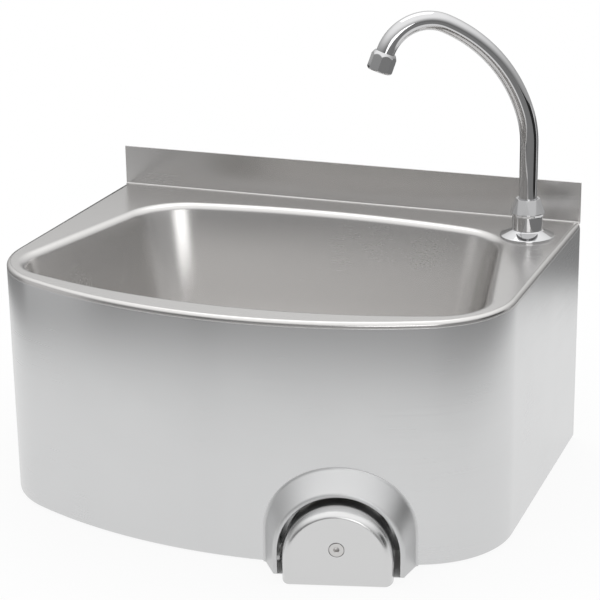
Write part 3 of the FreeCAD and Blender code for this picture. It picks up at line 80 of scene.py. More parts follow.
Number = Union[float, "Signal"]
Colour = tuple[float, float, float]
Corner = tuple[float, float, float]
Span = tuple[float, float]
Rings = list[np.ndarray]
Sockets = dict[Union[str, int], object]


# ---------------------------------------------------------------- shader graph


class Signal:
    """A shader socket that takes part in plain Python sums."""

    def __init__(self, graph: "Graph", socket: bpy.types.NodeSocket) -> None:
        """Wrap a socket of a graph."""
        self.graph = graph
        self.socket = socket

    def _math(self, operation: str, *values: Number) -> "Signal":
        """Add a Math node with its inputs in order."""
        inputs = dict(enumerate(values))
        return self.graph.node("ShaderNodeMath", {"operation": operation}, inputs)

    def __add__(self, other: Number) -> "Signal":
        """Sum."""
        return self._math("ADD", self, other)

    def __radd__(self, other: Number) -> "Signal":
        """Sum with the signal on the right."""
        return self._math("ADD", other, self)

    def __sub__(self, other: Number) -> "Signal":
        """Difference."""
        return self._math("SUBTRACT", self, other)

    def __rsub__(self, other: Number) -> "Signal":
        """Difference with the signal on the right."""
        return self._math("SUBTRACT", other, self)

    def __mul__(self, other: Number) -> "Signal":
        """Product."""
        return self._math("MULTIPLY", self, other)

    def __rmul__(self, other: Number) -> "Signal":
        """Product with the signal on the right."""
        return self._math("MULTIPLY", other, self)

    def larger(self, other: Number) -> "Signal":
        """The larger of two values."""
        return self._math("MAXIMUM", self, other)

    def size(self) -> "Signal":
        """The value without its sign."""
        return self.larger(0 - self)

    def ramp(self, low: float, high: float) -> "Signal":
        """A smooth rise from 0 to 1.

        Args:
            low: The value at which the rise starts.
            high: The value at which it ends.

        Returns:
            The rise at this signal's value.
        """
        settings = {"interpolation_type": "SMOOTHSTEP", "clamp": True}
        inputs = {"Value": self, "From Min": low, "From Max": high}
        return self.graph.node("ShaderNodeMapRange", settings, inputs)


class Graph:
    """The nodes of one material or of the world."""

    def __init__(self, tree: bpy.types.NodeTree) -> None:
        """Start from an empty tree."""
        self.tree = tree
        self.tree.nodes.clear()

    def node(
        self,
        kind: str,
        settings: Optional[dict[str, object]] = None,
        inputs: Optional[Sockets] = None,
        output: Union[str, int] = 0,
    ) -> Signal:
        """Add any node.

        Args:
            kind: The node's type.
            settings: Its own properties, set before its sockets.
            inputs: Values or signals for its sockets, by name or number.
            output: The socket to give back.

        Returns:
            The chosen output as a signal.
        """
        made = self.tree.nodes.new(kind)
        for name, value in (settings or {}).items():
            setattr(made, name, value)
        for key, value in (inputs or {}).items():
            if isinstance(value, Signal):
                self.tree.links.new(value.socket, made.inputs[key])
            else:
                made.inputs[key].default_value = value
        if not made.outputs:
            return Signal(self, made.inputs[0])
        return Signal(self, made.outputs[output])

    def place(self, stretch: Sequence[float]) -> Signal:
        """The point on the object, scaled.

        Args:
            stretch: The scales along X, Y and Z.

        Returns:
            The scaled point.
        """
        point = self.node("ShaderNodeTexCoord", output="Object")
        settings = {"vector_type": "POINT"}
        return self.node("ShaderNodeMapping", settings, {"Vector": point, "Scale": stretch})

    def noise(self, scales: Union[float, Corner], detail: float, rough: float = 0.55) -> Signal:
        """Fractal noise from 0 to 1 over the object.

        Args:
            scales: Its scale per metre, or one each along X, Y and Z.
            detail: Its number of octaves.
            rough: The share of each octave in the next.

        Returns:
            The noise.
        """
        stretch = scales if isinstance(scales, tuple) else (scales, scales, scales)
        inputs = {"Vector": self.place(stretch), "Scale": 1.0, "Detail": detail, "Roughness": rough}
        return self.node("ShaderNodeTexNoise", {"noise_dimensions": "3D"}, inputs)

    def parts(self, vector: Signal) -> list[Signal]:
        """The X, Y and Z of a vector."""
        outputs = self.node("ShaderNodeSeparateXYZ", {}, {0: vector}).socket.node.outputs
        return [Signal(self, output) for output in outputs]

    def blend(self, factor: Number, first: Colour, second: Colour) -> Signal:
        """A colour between two, by a factor."""
        inputs = {MIX_FACTOR: factor, MIX_FIRST: (*first, 1.0), MIX_SECOND: (*second, 1.0)}
        return self.node("ShaderNodeMix", {"data_type": "RGBA"}, inputs, MIX_RESULT)

    def mix(self, factor: Number, first: Signal, second: Signal) -> Signal:
        """A shader between two, by a factor."""
        return self.node("ShaderNodeMixShader", {}, {0: factor, 1: first, 2: second})

    def bump(self, height: Signal, depth: float, strength: float) -> Signal:
        """A normal that follows a height, in metres at full strength."""
        inputs = {"Height": height, "Distance": depth, "Strength": strength}
        return self.node("ShaderNodeBump", {}, inputs)

    def surface(self, inputs: Sockets) -> None:
        """End the graph in a Principled shader with these sockets."""
        shader = self.node("ShaderNodeBsdfPrincipled", {}, inputs)
        self.node("ShaderNodeOutputMaterial", {}, {"Surface": shader})


def fresh_material(name: str) -> tuple[bpy.types.Material, Graph]:
    """Make a material.

    Args:
        name: Its name.

    Returns:
        The material and its empty graph.
    """
    material = bpy.data.materials.new(name)
    material.use_nodes = True
    return material, Graph(material.node_tree)


# ---------------------------------------------------------------- finishes


class Grain(Enum):
    """How a metal was ground; the values are noise scales per metre along X, Y and Z."""

    ALONG_DECK = (9.0, 1500.0, 1500.0)
    ROUND_WALL = (9.0, 9.0, 1500.0)
    EVEN = (900.0, 900.0, 900.0)


@dataclass(frozen=True)
class Finish:
    """A finish that can be put on a piece."""

    name: str

    def sockets(self, graph: Graph) -> Sockets:
        """Values and signals for the sockets of the Principled shader."""
        raise NotImplementedError

    def material(self) -> bpy.types.Material:
        """The finished material, made once.

        Returns:
            The material with this finish's name.
        """
        known = bpy.data.materials.get(self.name)
        if known:
            return known
        material, graph = fresh_material(self.name)
        graph.surface(self.sockets(graph))
        return material


@dataclass(frozen=True)
class SatinSteel(Finish):
    """Ground stainless sheet: fine streaks and soft clouds of polish."""

    grain: Grain = Grain.EVEN
    tone: float = 0.66
    roughness: float = 0.3
    streak: float = 0.05
    cloud: float = 0.05
    cloud_scale: float = 14.0
    dimming: float = 0.95
    groove: float = 0.02 * MM
    relief: float = 0.008
    warmth: float = 0.015

    def sockets(self, graph: Graph) -> Sockets:
        """Streaks along the grain, clouds over them.

        Args:
            graph: The graph to add the nodes to.

        Returns:
            Values and signals by socket.
        """
        streaks = graph.noise(self.grain.value, 3.0)
        clouds = graph.noise(self.cloud_scale, 3.0)
        pale = (self.tone * (1 + self.warmth), self.tone, self.tone * (1 - self.warmth))
        dim = tuple(channel * self.dimming for channel in pale)
        rough = self.roughness + (streaks - NOISE_MEAN) * self.streak
        return {
            "Base Color": graph.blend(streaks * 0.5 + clouds * 0.5, pale, dim),
            "Metallic": 1.0,
            "Roughness": rough + (clouds - NOISE_MEAN) * self.cloud,
            "Normal": graph.bump(streaks, self.groove, self.relief),
        }


@dataclass(frozen=True)
class Chrome(Finish):
    """Bright plating, with faint water marks in its gloss."""

    tone: float = 0.62
    tint: Colour = (1.0, 1.0, 1.01)
    film_tint: Colour = (0.95, 0.95, 0.955)
    film_scale: float = 30.0
    film_depth: float = 0.02 * MM
    film_relief: float = 0.05
    roughness: float = 0.05
    mark_scale: float = 160.0
    mark_span: Span = (0.5, 0.8)
    mark: float = 0.04

    def sockets(self, graph: Graph) -> Sockets:
        """A thin film that dims the plating, with duller marks.

        Args:
            graph: The graph to add the nodes to.

        Returns:
            Values and signals by socket.
        """
        marks = graph.noise(self.mark_scale, 4.0, 0.65).ramp(*self.mark_span)
        film = graph.noise(self.film_scale, 2.0)
        bright = tuple(self.tone * channel for channel in self.tint)
        dim = tuple(self.tone * channel for channel in self.film_tint)
        return {
            "Base Color": graph.blend(film, bright, dim),
            "Metallic": 1.0,
            "Roughness": self.roughness + marks * self.mark,
            "Normal": graph.bump(film, self.film_depth, self.film_relief),
        }


@dataclass(frozen=True)
class NickelBrass(Finish):
    """Cast and turned brass under thin nickel, a little warm and cloudy."""

    colour: Colour = (0.60, 0.56, 0.47)
    shade: Colour = (0.50, 0.46, 0.38)
    roughness: float = 0.34
    cloud_scale: float = 60.0
    cloud_span: Span = (0.35, 0.7)
    cloud: float = 0.18
    cast_scale: float = 700.0
    cast_depth: float = 0.06 * MM
    cast_relief: float = 0.3

    def sockets(self, graph: Graph) -> Sockets:
        """Cloudy nickel over a cast skin.

        Args:
            graph: The graph to add the nodes to.

        Returns:
            Values and signals by socket.
        """
        cast = graph.noise(self.cast_scale, 3.0)
        clouds = graph.noise(self.cloud_scale, 4.0, 0.6)
        return {
            "Base Color": graph.blend(clouds.ramp(*self.cloud_span), self.colour, self.shade),
            "Metallic": 1.0,
            "Roughness": self.roughness + (clouds - NOISE_MEAN) * self.cloud,
            "Normal": graph.bump(cast, self.cast_depth, self.cast_relief),
        }


@dataclass(frozen=True)
class SealRubber(Finish):
    """Black moulded rubber with a dusty bloom."""

    colour: Colour = (0.018, 0.018, 0.019)
    bloom: Colour = (0.05, 0.05, 0.052)
    roughness: float = 0.6
    dust_scale: float = 90.0
    dust_span: Span = (0.4, 0.75)
    dust: float = 0.2
    skin_scale: float = 1200.0
    skin_depth: float = 0.05 * MM
    skin_relief: float = 0.4

    def sockets(self, graph: Graph) -> Sockets:
        """Dust on a fine moulded skin.

        Args:
            graph: The graph to add the nodes to.

        Returns:
            Values and signals by socket.
        """
        fine = graph.noise(self.skin_scale, 2.0)
        dust = graph.noise(self.dust_scale, 4.0).ramp(*self.dust_span)
        return {
            "Base Color": graph.blend(dust, self.colour, self.bloom),
            "Roughness": self.roughness + dust * self.dust,
            "Normal": graph.bump(fine, self.skin_depth, self.skin_relief),
        }


@dataclass(frozen=True)
class MouldedPlastic(Finish):
    """Moulded plastic with a fine spark-eroded texture."""

    colour: Colour = (0.62, 0.62, 0.60)
    roughness: float = 0.42
    dimming: float = 0.93
    flow_scale: float = 40.0
    spark_scale: float = 1800.0
    spark: float = 0.12
    spark_depth: float = 0.03 * MM
    spark_relief: float = 0.35

    def sockets(self, graph: Graph) -> Sockets:
        """Faint flow marks under the eroded texture.

        Args:
            graph: The graph to add the nodes to.

        Returns:
            Values and signals by socket.
        """
        texture = graph.noise(self.spark_scale, 2.0)
        flow = graph.noise(self.flow_scale, 2.0)
        dim = tuple(channel * self.dimming for channel in self.colour)
        return {
            "Base Color": graph.blend(flow, self.colour, dim),
            "Roughness": self.roughness + (texture - NOISE_MEAN) * self.spark,
            "Normal": graph.bump(texture, self.spark_depth, self.spark_relief),
        }


@dataclass(frozen=True)
class WireMesh(Finish):
    """Woven steel gauze of a supply filter."""

    pitch: float = 0.8 * MM
    # painted shade: the dark seen through the holes of the weave
    shade_in_holes: Colour = (0.05, 0.05, 0.05)
    wire: Colour = (0.62, 0.61, 0.58)
    wave_period: float = 0.314
    depth: float = 0.15 * MM
    relief: float = 0.8

    def sockets(self, graph: Graph) -> Sockets:
        """Two crossed sets of wires, with painted shade in the holes between them.

        Args:
            graph: The graph to add the nodes to.

        Returns:
            Values and signals by socket.
        """
        bands = []
        for direction in ("X", "Z"):
            settings = {"wave_type": "BANDS", "bands_direction": direction}
            point = graph.place((1.0, 1.0, 1.0))
            scale = self.wave_period / self.pitch
            inputs = {"Vector": point, "Scale": scale, "Distortion": 0.0}
            bands.append(graph.node("ShaderNodeTexWave", settings, inputs, "Fac"))
        weave = bands[0].larger(bands[1])
        return {
            # the holes between the wires get painted shade, the wires their steel colour
            "Base Color": graph.blend(weave, self.shade_in_holes, self.wire),
            "Metallic": 0.9,
            "Roughness": 0.5 - weave * 0.15,
            "Normal": graph.bump(weave, self.depth, self.relief),
        }


DECK_STEEL = SatinSteel("satin_deck", Grain.ALONG_DECK, roughness=0.26)
APRON_STEEL = SatinSteel("satin_apron", Grain.ROUND_WALL, roughness=0.26, warmth=-0.004)
HOOD_STEEL = SatinSteel("satin_hood", Grain.ROUND_WALL, 0.62, roughness=0.42, warmth=-0.004)
PAD_STEEL = SatinSteel("satin_pad", Grain.ROUND_WALL, roughness=0.25, relief=0.003, warmth=0.0)
FITTING_STEEL = SatinSteel("turned_steel", tone=0.6, roughness=0.22)
SPRING_STEEL = SatinSteel("spring_wire", tone=0.42, roughness=0.25)
CHROME = Chrome("bright_chrome")
BRASS = NickelBrass("nickelled_brass")
RUBBER = SealRubber("seal_rubber")
PLASTIC = MouldedPlastic("moulded_plastic")
DARK_PLASTIC = MouldedPlastic("dark_plastic", (0.06, 0.065, 0.075), 0.38)
GAUZE = WireMesh("wire_gauze")


# ---------------------------------------------------------------- outlines and skins


def arc(centre: Sequence[float], radius: float, start: float, end: float, steps: int) -> np.ndarray:
    """Points of an arc, by headings clockwise from +Y.

    Args:
        centre: Middle of the arc.
        radius: Its radius.
        start: First heading, in radians.
        end: Last heading.
        steps: Number of runs between points.

    Returns:
        Steps + 1 rows of x and y.
    """
    turn = np.linspace(start, end, steps + 1)
    return np.array(centre) + radius * np.stack([np.sin(turn), np.cos(turn)], 1)


def run(start: Sequence[float], end: Sequence[float], steps: int) -> np.ndarray:
    """Points of a straight run, both ends included."""
    share = np.linspace(0, 1, steps + 1)[:, None]
    return np.array(start) * (1 - share) + np.array(end) * share


def joined(parts: Sequence[np.ndarray]) -> np.ndarray:
    """One line from parts that each start where the last one ends."""
    return np.concatenate([parts[0]] + [part[1:] for part in parts[1:]])


def heading(way: Sequence[float]) -> float:
    """The heading of a direction, clockwise from +Y."""
    return math.atan2(way[0], way[1])


def both_sides(half: np.ndarray) -> np.ndarray:
    """A closed line from its right half, which runs from the back to the front."""
    left = half[-2:0:-1] * np.array([-1, 1])
    return np.concatenate([half, left])


def at_height(line: np.ndarray, z: float) -> np.ndarray:
    """A flat line lifted to a height."""
    return np.column_stack([line, np.full(len(line), z)])


def rounded(corners: Sequence[Corner], closed: bool, steps: int = ARC_STEPS) -> np.ndarray:
    """A polygon or open line with arcs at its corners.

    Beside each arc a guard point keeps the shading of the flats flat.

    Args:
        corners: First and second coordinate and radius of each corner.
        closed: Whether the line ends where it starts.
        steps: Number of runs in each arc.

    Returns:
        Rows of the two coordinates.
    """
    places = [np.array(corner[:2]) for corner in corners]
    count = len(places)
    points: list[np.ndarray] = []
    for index, corner in enumerate(corners):
        here, radius = places[index], corner[2]
        at_end = not closed and index in (0, count - 1)
        if radius <= 0 or at_end:
            points.append(here)
            continue
        back = places[index - 1] - here
        fore = places[(index + 1) % count] - here
        room = min(np.linalg.norm(back), np.linalg.norm(fore))
        back = back / np.linalg.norm(back)
        fore = fore / np.linalg.norm(fore)
        half = math.acos(float(np.clip(back @ fore, -1, 1))) / 2
        reach = radius / math.tan(half)
        middle = here + (back + fore) / np.linalg.norm(back + fore) * (radius / math.sin(half))
        first = here + back * reach - middle
        last = here + fore * reach - middle
        beside = min(GUARD_GAP, (room - reach) * GUARD_SHARE)
        if beside > 0:
            points.append(here + back * (reach + beside))
        swing = math.pi - 2 * half
        for step in range(steps + 1):
            share = step / steps
            weights = math.sin((1 - share) * swing), math.sin(share * swing)
            points.append(middle + (first * weights[0] + last * weights[1]) / math.sin(swing))
        if beside > 0:
            points.append(here + fore * (reach + beside))
    return np.array(points)


def divided(line: np.ndarray, longest: float) -> np.ndarray:
    """A line whose runs are no longer than a length.

    Args:
        line: Rows of its points.
        longest: The greatest length of a run.

    Returns:
        The line with points added.
    """
    points = [line[0]]
    for start, end in zip(line, line[1:]):
        pieces = max(1, math.ceil(np.linalg.norm(end - start) / longest))
        points += [start + (end - start) * (step + 1) / pieces for step in range(pieces)]
    return np.array(points)


def circle(radius: float, z: float, steps: int) -> np.ndarray:
    """A ring of points round the Z axis."""
    turn = np.linspace(0, 2 * math.pi, steps, endpoint=False)
    return np.column_stack([radius * np.cos(turn), radius * np.sin(turn), np.full(steps, z)])


def lathe_rings(profile: np.ndarray, steps: int) -> Rings:
    """Rings of a turned piece from its profile of radius and height."""
    return [circle(max(radius, 0.0), z, steps) for radius, z in profile]


def in_scene(thing: bpy.types.Object) -> bpy.types.Object:
    """Put an object into the scene and give it back."""
    bpy.context.scene.collection.objects.link(thing)
    return thing


class Skin:
    """The points and faces of a piece while it is built."""

    def __init__(self) -> None:
        """Start with nothing."""
        self.points: list[np.ndarray] = []
        self.faces: list[tuple[int, ...]] = []
        self.count = 0

    def add(self, ring: np.ndarray) -> int:
        """Take a ring's points and give the number of its first one.

        Args:
            ring: Rows of its points.

        Returns:
            The number of its first point.
        """
        first = self.count
        self.points.append(ring)
        self.count += len(ring)
        return first

    def rings(self, rings: Rings, closed: bool = True, loop: bool = False) -> "Skin":
        """Join rings of equal length with quads.

        Args:
            rings: The rings, in order.
            closed: Whether each ring ends where it starts.
            loop: Whether the last ring joins the first.

        Returns:
            This skin.
        """
        starts = [self.add(ring) for ring in rings]
        size = len(rings[0])
        pairs = list(zip(starts, starts[1:]))
        if loop:
            pairs.append((starts[-1], starts[0]))
        for here, there in pairs:
            for index in range(size if closed else size - 1):
                after = (index + 1) % size
                self.faces.append((here + index, here + after, there + after, there + index))
        return self

    def cap(self, ring: np.ndarray) -> "Skin":
        """Close a ring with one face.

        Args:
            ring: Rows of its points.

        Returns:
            This skin.
        """
        first = self.add(ring)
        self.faces.append(tuple(range(first, first + len(ring))))
        return self

    def turned(self, corners: Sequence[Corner], steps: int) -> "Skin":
        """Add a turned form from the closed profile of its section."""
        return self.rings(lathe_rings(rounded(corners, True), steps), loop=True)

    def moved(self, place: Matrix) -> "Skin":
        """Move all points by a placement.

        Args:
            place: The placement.

        Returns:
            This skin.
        """
        turn = np.array(place.to_3x3())
        shift = np.array(place.to_translation())
        self.points = [ring @ turn.T + shift for ring in self.points]
        return self

    def build(self, name: str, crease: float = CREASE) -> bpy.types.Object:
        """Make the mesh object, smooth apart from its creases.

        Args:
            name: The object's name.
            crease: The least angle of a sharp edge, in degrees.

        Returns:
            The new object.
        """
        mesh = bpy.data.meshes.new(name)
        mesh.from_pydata(np.concatenate(self.points).tolist(), [], self.faces)
        form = bmesh.new()
        form.from_mesh(mesh)
        bmesh.ops.remove_doubles(form, verts=form.verts, dist=MERGE_GAP)
        bmesh.ops.dissolve_degenerate(form, edges=form.edges, dist=SLIVER)
        bmesh.ops.recalc_face_normals(form, faces=form.faces)
        form.to_mesh(mesh)
        form.free()
        mesh.shade_smooth()
        mesh.set_sharp_from_angle(angle=math.radians(crease))
        return in_scene(bpy.data.objects.new(name, mesh))


def cut_away(piece: bpy.types.Object, tool: bpy.types.Object) -> None:
    """Cut one closed mesh out of another and remove the tool.

    Args:
        piece: The mesh that is cut.
        tool: The mesh that cuts it.
    """
    cut = piece.modifiers.new("cut", "BOOLEAN")
    cut.operation = "DIFFERENCE"
    cut.solver = "EXACT"
    cut.object = tool
    graph = bpy.context.evaluated_depsgraph_get()
    result = bpy.data.meshes.new_from_object(piece.evaluated_get(graph))
    piece.modifiers.clear()
    piece.data = result
    bpy.data.objects.remove(tool)
    result.shade_smooth()
    result.set_sharp_from_angle(angle=math.radians(CREASE))


# ---------------------------------------------------------------- pieces on the frame


class SubAssembly:
    """What every sub-assembly of the sink shares."""

    slots = {part["node"]: part["material_slot"] for part in frame["record"]["subparts"]}
    bodies = {
        node: body
        for body, nodes in frame["record"]["behaviour"]["bodies"].items()
        for node in nodes
    }

    def fit(self, piece: bpy.types.Object, node: str, finish: Finish) -> bpy.types.Object:
        """Dress a piece and let it stand for a solid.

        Args:
            piece: The object, in its place.
            node: The solid it stands for.
            finish: Its finish.

        Returns:
            The same object.
        """
        piece.data.materials.clear()
        piece.data.materials.append(finish.material())
        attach(piece, self.bodies[node])
        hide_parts(node)
        LOG.info("%s: %d faces, %s", piece.name, len(piece.data.polygons), finish.name)
        return piece

    def build(self) -> None:
        """Make every piece of the sub-assembly."""
        raise NotImplementedError


@dataclass(frozen=True)
class DeckLine:
    """The sink seen from above: straight sides, rounded corners and a bowed front."""

    width: float = 450 * MM
    depth: float = 340 * MM
    arc_radius: float = 425 * MM
    corner_radius: float = 84 * MM
    back_steps: int = 44
    side_steps: int = 30
    corner_steps: int = 28
    front_steps: int = 48

    @property
    def centre_y(self) -> float:
        """Y of the centre of the front arc."""
        return self.arc_radius - self.depth

    def closed(self, inset: float, back: float) -> np.ndarray:
        """The whole outline, drawn in by inset, with its back edge at y = back.

        Args:
            inset: How far it is drawn in.
            back: Y of the back edge.

        Returns:
            Rows of x and y.
        """
        half = self.width / 2 - inset
        corner = self.corner_radius - inset
        radius = self.arc_radius - inset
        across = half - corner
        along = math.sqrt((radius - corner) ** 2 - across**2)
        knuckle = np.array([across, self.centre_y - along])
        swing = heading(knuckle - np.array([0, self.centre_y]))
        parts = [
            run((0, back), (half, back), self.back_steps),
            run((half, back), (half, knuckle[1]), self.side_steps),
            arc(knuckle, corner, math.pi / 2, swing, self.corner_steps),
            arc((0, self.centre_y), radius, swing, math.pi, self.front_steps),
        ]
        return both_sides(joined(parts))

    def skirt(self, inset: float, back: float) -> np.ndarray:
        """The open outline without its back edge, from the right rear to the left."""
        line = self.closed(inset, back)
        return line[self.back_steps : len(line) - self.back_steps + 1]

    def rear(self, inset: float, back: float) -> np.ndarray:
        """The back edge alone, from left to right."""
        line = self.closed(inset, back)
        return np.concatenate([line[len(line) - self.back_steps :], line[: self.back_steps + 1]])


@dataclass(frozen=True)
class BowlLine:
    """The bowl seen from above: flat arcs at back and front, sides that flare."""

    back_y: float = -33.6 * MM
    front_y: float = -318 * MM
    side_x: float = 188 * MM
    side_y: float = -130 * MM
    flare: float = math.radians(12)
    back_radius: float = 770 * MM
    front_radius: float = 535 * MM
    back_corner: float = 56 * MM
    front_corner: float = 47 * MM
    taper: float = 0.12
    back_steps: int = 36
    rear_steps: int = 24
    side_steps: int = 16
    fore_steps: int = 26
    front_steps: int = 48

    def closed(self, inset: float) -> np.ndarray:
        """The whole outline, drawn in by inset from the rim's outer line.

        Args:
            inset: How far it is drawn in.

        Returns:
            Rows of x and y.
        """
        tightening = self.taper * inset
        along = np.array([math.sin(self.flare), -math.cos(self.flare)])
        outward = np.array([math.cos(self.flare), math.sin(self.flare)])
        side = np.array([self.side_x, self.side_y]) - outward * inset
        rear_middle = np.array([0, self.back_y - self.back_radius])
        fore_middle = np.array([0, self.front_y + self.front_radius])

        def knuckle(middle: np.ndarray, radius: float, corner: float, way: int) -> np.ndarray:
            """Centre of the corner that touches the side and an end arc.

            Args:
                middle: Centre of the end arc.
                radius: Radius of the end arc.
                corner: Radius of the corner.
                way: 1 for the front corner, -1 for the rear one.

            Returns:
                The centre's x and y.
            """
            base = side - outward * corner
            reach = (base - middle) @ along
            apart = np.linalg.norm(base - middle - along * reach)
            return base + along * (way * math.sqrt((radius - corner) ** 2 - apart**2) - reach)

        back_radius = self.back_radius - inset
        front_radius = self.front_radius - inset
        back_corner = self.back_corner - tightening
        front_corner = self.front_corner - tightening
        rear = knuckle(rear_middle, back_radius, back_corner, -1)
        fore = knuckle(fore_middle, front_radius, front_corner, 1)
        rear_turn = heading(rear - rear_middle)
        fore_turn = heading(fore - fore_middle)
        side_turn = heading(outward)
        parts = [
            arc(rear_middle, back_radius, 0, rear_turn, self.back_steps),
            arc(rear, back_corner, rear_turn, side_turn, self.rear_steps),
            run(rear + outward * back_corner, fore + outward * front_corner, self.side_steps),
            arc(fore, front_corner, side_turn, fore_turn, self.fore_steps),
            arc(fore_middle, front_radius, fore_turn, math.pi, self.front_steps),
        ]
        return both_sides(joined(parts))


@dataclass(frozen=True)
class Basin(SubAssembly):
    """Deck, upstand and deep drawn bowl, pressed from one sheet."""

    deck: DeckLine = DeckLine()
    bowl: BowlLine = BowlLine()
    top: float = 50 * MM
    sheet: float = 1.2 * MM
    deck_roll: float = 3.5 * MM
    skirt: float = 5 * MM
    crest: float = 87 * MM
    fold: float = 1 * MM
    rim_roll: float = 7 * MM
    depth: float = 140 * MM
    draft: float = math.radians(12)
    floor_radius: float = 62 * MM
    waste_y: float = -175 * MM
    recess_radius: float = 36 * MM
    recess_depth: float = 4 * MM
    recess_shoulder: float = 1.6 * MM
    recess_bend: float = 1.4 * MM
    hole_radius: float = 25 * MM
    edge: float = 0.3 * MM
    rim_steps: int = 12
    wall_steps: int = 11
    bend_steps: int = 22
    roll_steps: int = 12
    inner_roll_steps: int = 8
    fold_steps: int = 6
    floor_shares: tuple[float, ...] = (0.02, 0.25, 0.5, 0.75, 1.0)

    def build(self) -> None:
        """Make every piece of the sub-assembly."""
        skin = Skin()
        skin.rings(self.bowl_rings())
        skin.rings(self.skirt_rings(), closed=False, loop=True)
        skin.rings(self.upstand_rings(), closed=False, loop=True)
        self.fit(skin.build("basin_sheet"), "basin_top", DECK_STEEL)

    def wall(self, under: float) -> list[tuple[float, float]]:
        """The bowl's section from rim to floor, as (inset, height) pairs.

        Args:
            under: How far under the washed face the section lies.

        Returns:
            The pairs, from the deck inwards.
        """
        roll = self.rim_roll - under
        turn = self.floor_radius + under
        lean = math.pi / 2 - self.draft
        rim_inset = self.rim_roll * math.tan(lean / 2)
        bend_depth = self.depth - self.floor_radius
        bend_start = bend_depth + self.floor_radius * math.sin(self.draft)
        bend_inset = rim_inset + bend_start * math.tan(self.draft)
        bend_inset += self.floor_radius * math.cos(self.draft)
        section = [(-self.edge * 2, self.top - under)]
        for angle in np.linspace(0, lean, self.rim_steps + 1):
            inset = roll * math.sin(angle)
            section.append((inset, self.top - self.rim_roll + roll * math.cos(angle)))
        bends = []
        for angle in np.linspace(self.draft, math.pi / 2, self.bend_steps + 1):
            inset = bend_inset - turn * math.cos(angle)
            bends.append((inset, self.top - bend_depth - turn * math.sin(angle)))
        upper, lower = np.array(section[-1]), np.array(bends[0])
        between = np.linspace(0, 1, self.wall_steps + 1)[1:-1]
        section += [tuple(upper + (lower - upper) * share) for share in between]
        return section + bends

    def face_rings(self, under: float) -> Rings:
        """Rings of one face of the sheet, from the deck's edge to the waste hole.

        Args:
            under: How far under the washed face it lies.

        Returns:
            The rings.
        """
        level = self.top - under
        rings = [at_height(self.deck.closed(self.deck_roll, -self.fold - self.sheet), level)]
        outer = rings[0]
        guard = at_height(self.bowl.closed(-self.edge * 6), level)
        rings.append(outer + (guard - outer) * self.edge / (self.deck_roll * 4))
        rings.append(guard)
        for inset, z in self.wall(under):
            rings.append(at_height(self.bowl.closed(inset), z))
        last = rings[-1]
        middle = np.array([0, self.waste_y, 0])
        flat = (last - middle) * np.array([1, 1, 0])
        rays = flat / np.linalg.norm(flat, axis=1)[:, None]
        floor = self.top - self.depth
        slope = self.recess_depth / 2
        hole = self.hole_radius
        corners = [
            (self.recess_radius + self.floor_radius / 3, floor, 0.0),
            (self.recess_radius, floor, self.recess_shoulder),
            (self.recess_radius - slope, floor - self.recess_depth, self.recess_bend),
            (hole, floor - self.recess_depth, 0.0),
        ]
        dish = rounded(corners, False)[1:]
        goal = rays * (dish[0][0] + self.edge * 2) + middle + np.array([0, 0, floor])
        for share in self.floor_shares:
            ring = last * (1 - share) + (goal - np.array([0, 0, under])) * share
            rings.append(ring)
        for radius, z in dish:
            rings.append(rays * radius + middle + np.array([0, 0, z - under]))
        return rings

    def bowl_rings(self) -> Rings:
        """Rings of the washed face and back along the underside."""
        return self.face_rings(0) + self.face_rings(self.sheet)[::-1]

    def skirt_rings(self) -> Rings:
        """Rings of the rolled edge and its short skirt, as a closed section.

        Returns:
            The rings.
        """
        low = self.top - self.skirt
        start = self.deck_roll
        section = [(start, self.top)]
        section += self.quarter(self.deck_roll, self.roll_steps)
        section += [tuple(point) for point in self.cut_edge(0, self.sheet, low, -1)]
        section += self.quarter(self.deck_roll - self.sheet, self.inner_roll_steps)[::-1]
        section.append((start, self.top - self.sheet))
        back = -self.fold - self.sheet
        return [at_height(self.deck.skirt(inset, back), z) for inset, z in section]

    def quarter(self, radius: float, steps: int) -> list[tuple[float, float]]:
        """The deck's roll as (inset, height) pairs at one radius, from top to side.

        Args:
            radius: The radius of this face of the sheet.
            steps: Number of runs.

        Returns:
            The pairs.
        """
        centre = self.deck_roll
        turns = np.linspace(0, math.pi / 2, steps + 1)[1:]
        height = self.top - centre
        return [(centre - radius * math.sin(t), height + radius * math.cos(t)) for t in turns]

    def cut_edge(self, first: float, last: float, end: float, way: int) -> np.ndarray:
        """The sheet's cut edge with its two broken corners.

        Args:
            first: Depth of the face where it starts.
            last: Depth of the face where it ends.
            end: Height of the edge.
            way: 1 for an edge that looks up, -1 for one that looks down.

        Returns:
            Rows of depth and height.
        """
        lead = end - way * self.edge * 3
        corners = [(first, lead, 0), (first, end, self.edge), (last, end, self.edge), (last, lead, 0)]
        return rounded(corners, False)

    def upstand_rings(self) -> Rings:
        """Rings of the sheet folded up along the wall, as a closed section.

        Returns:
            The rings.
        """
        inner = self.fold
        outer = self.fold + self.sheet
        bend = np.array([-outer, self.top + inner])
        swing = np.linspace(0, math.pi / 2, self.fold_steps + 1)
        front = [bend + inner * np.array([math.sin(t), -math.cos(t)]) for t in swing]
        rear = [bend + outer * np.array([math.sin(t), -math.cos(t)]) for t in swing]
        crest = self.cut_edge(-self.sheet, 0, self.crest, 1)
        guard_front = np.array([-self.sheet, self.top + inner + self.edge])
        guard_rear = np.array([0, self.top + inner + self.edge])
        section = front + [guard_front] + list(crest) + [guard_rear] + rear[::-1]
        line = self.deck.rear(self.deck_roll, 0)[:, 0]
        ends = self.deck.width / 2
        across = np.concatenate([[-ends], line, [ends]])
        return [at_height(np.column_stack([across, np.full(len(across), y)]), z) for y, z in section]


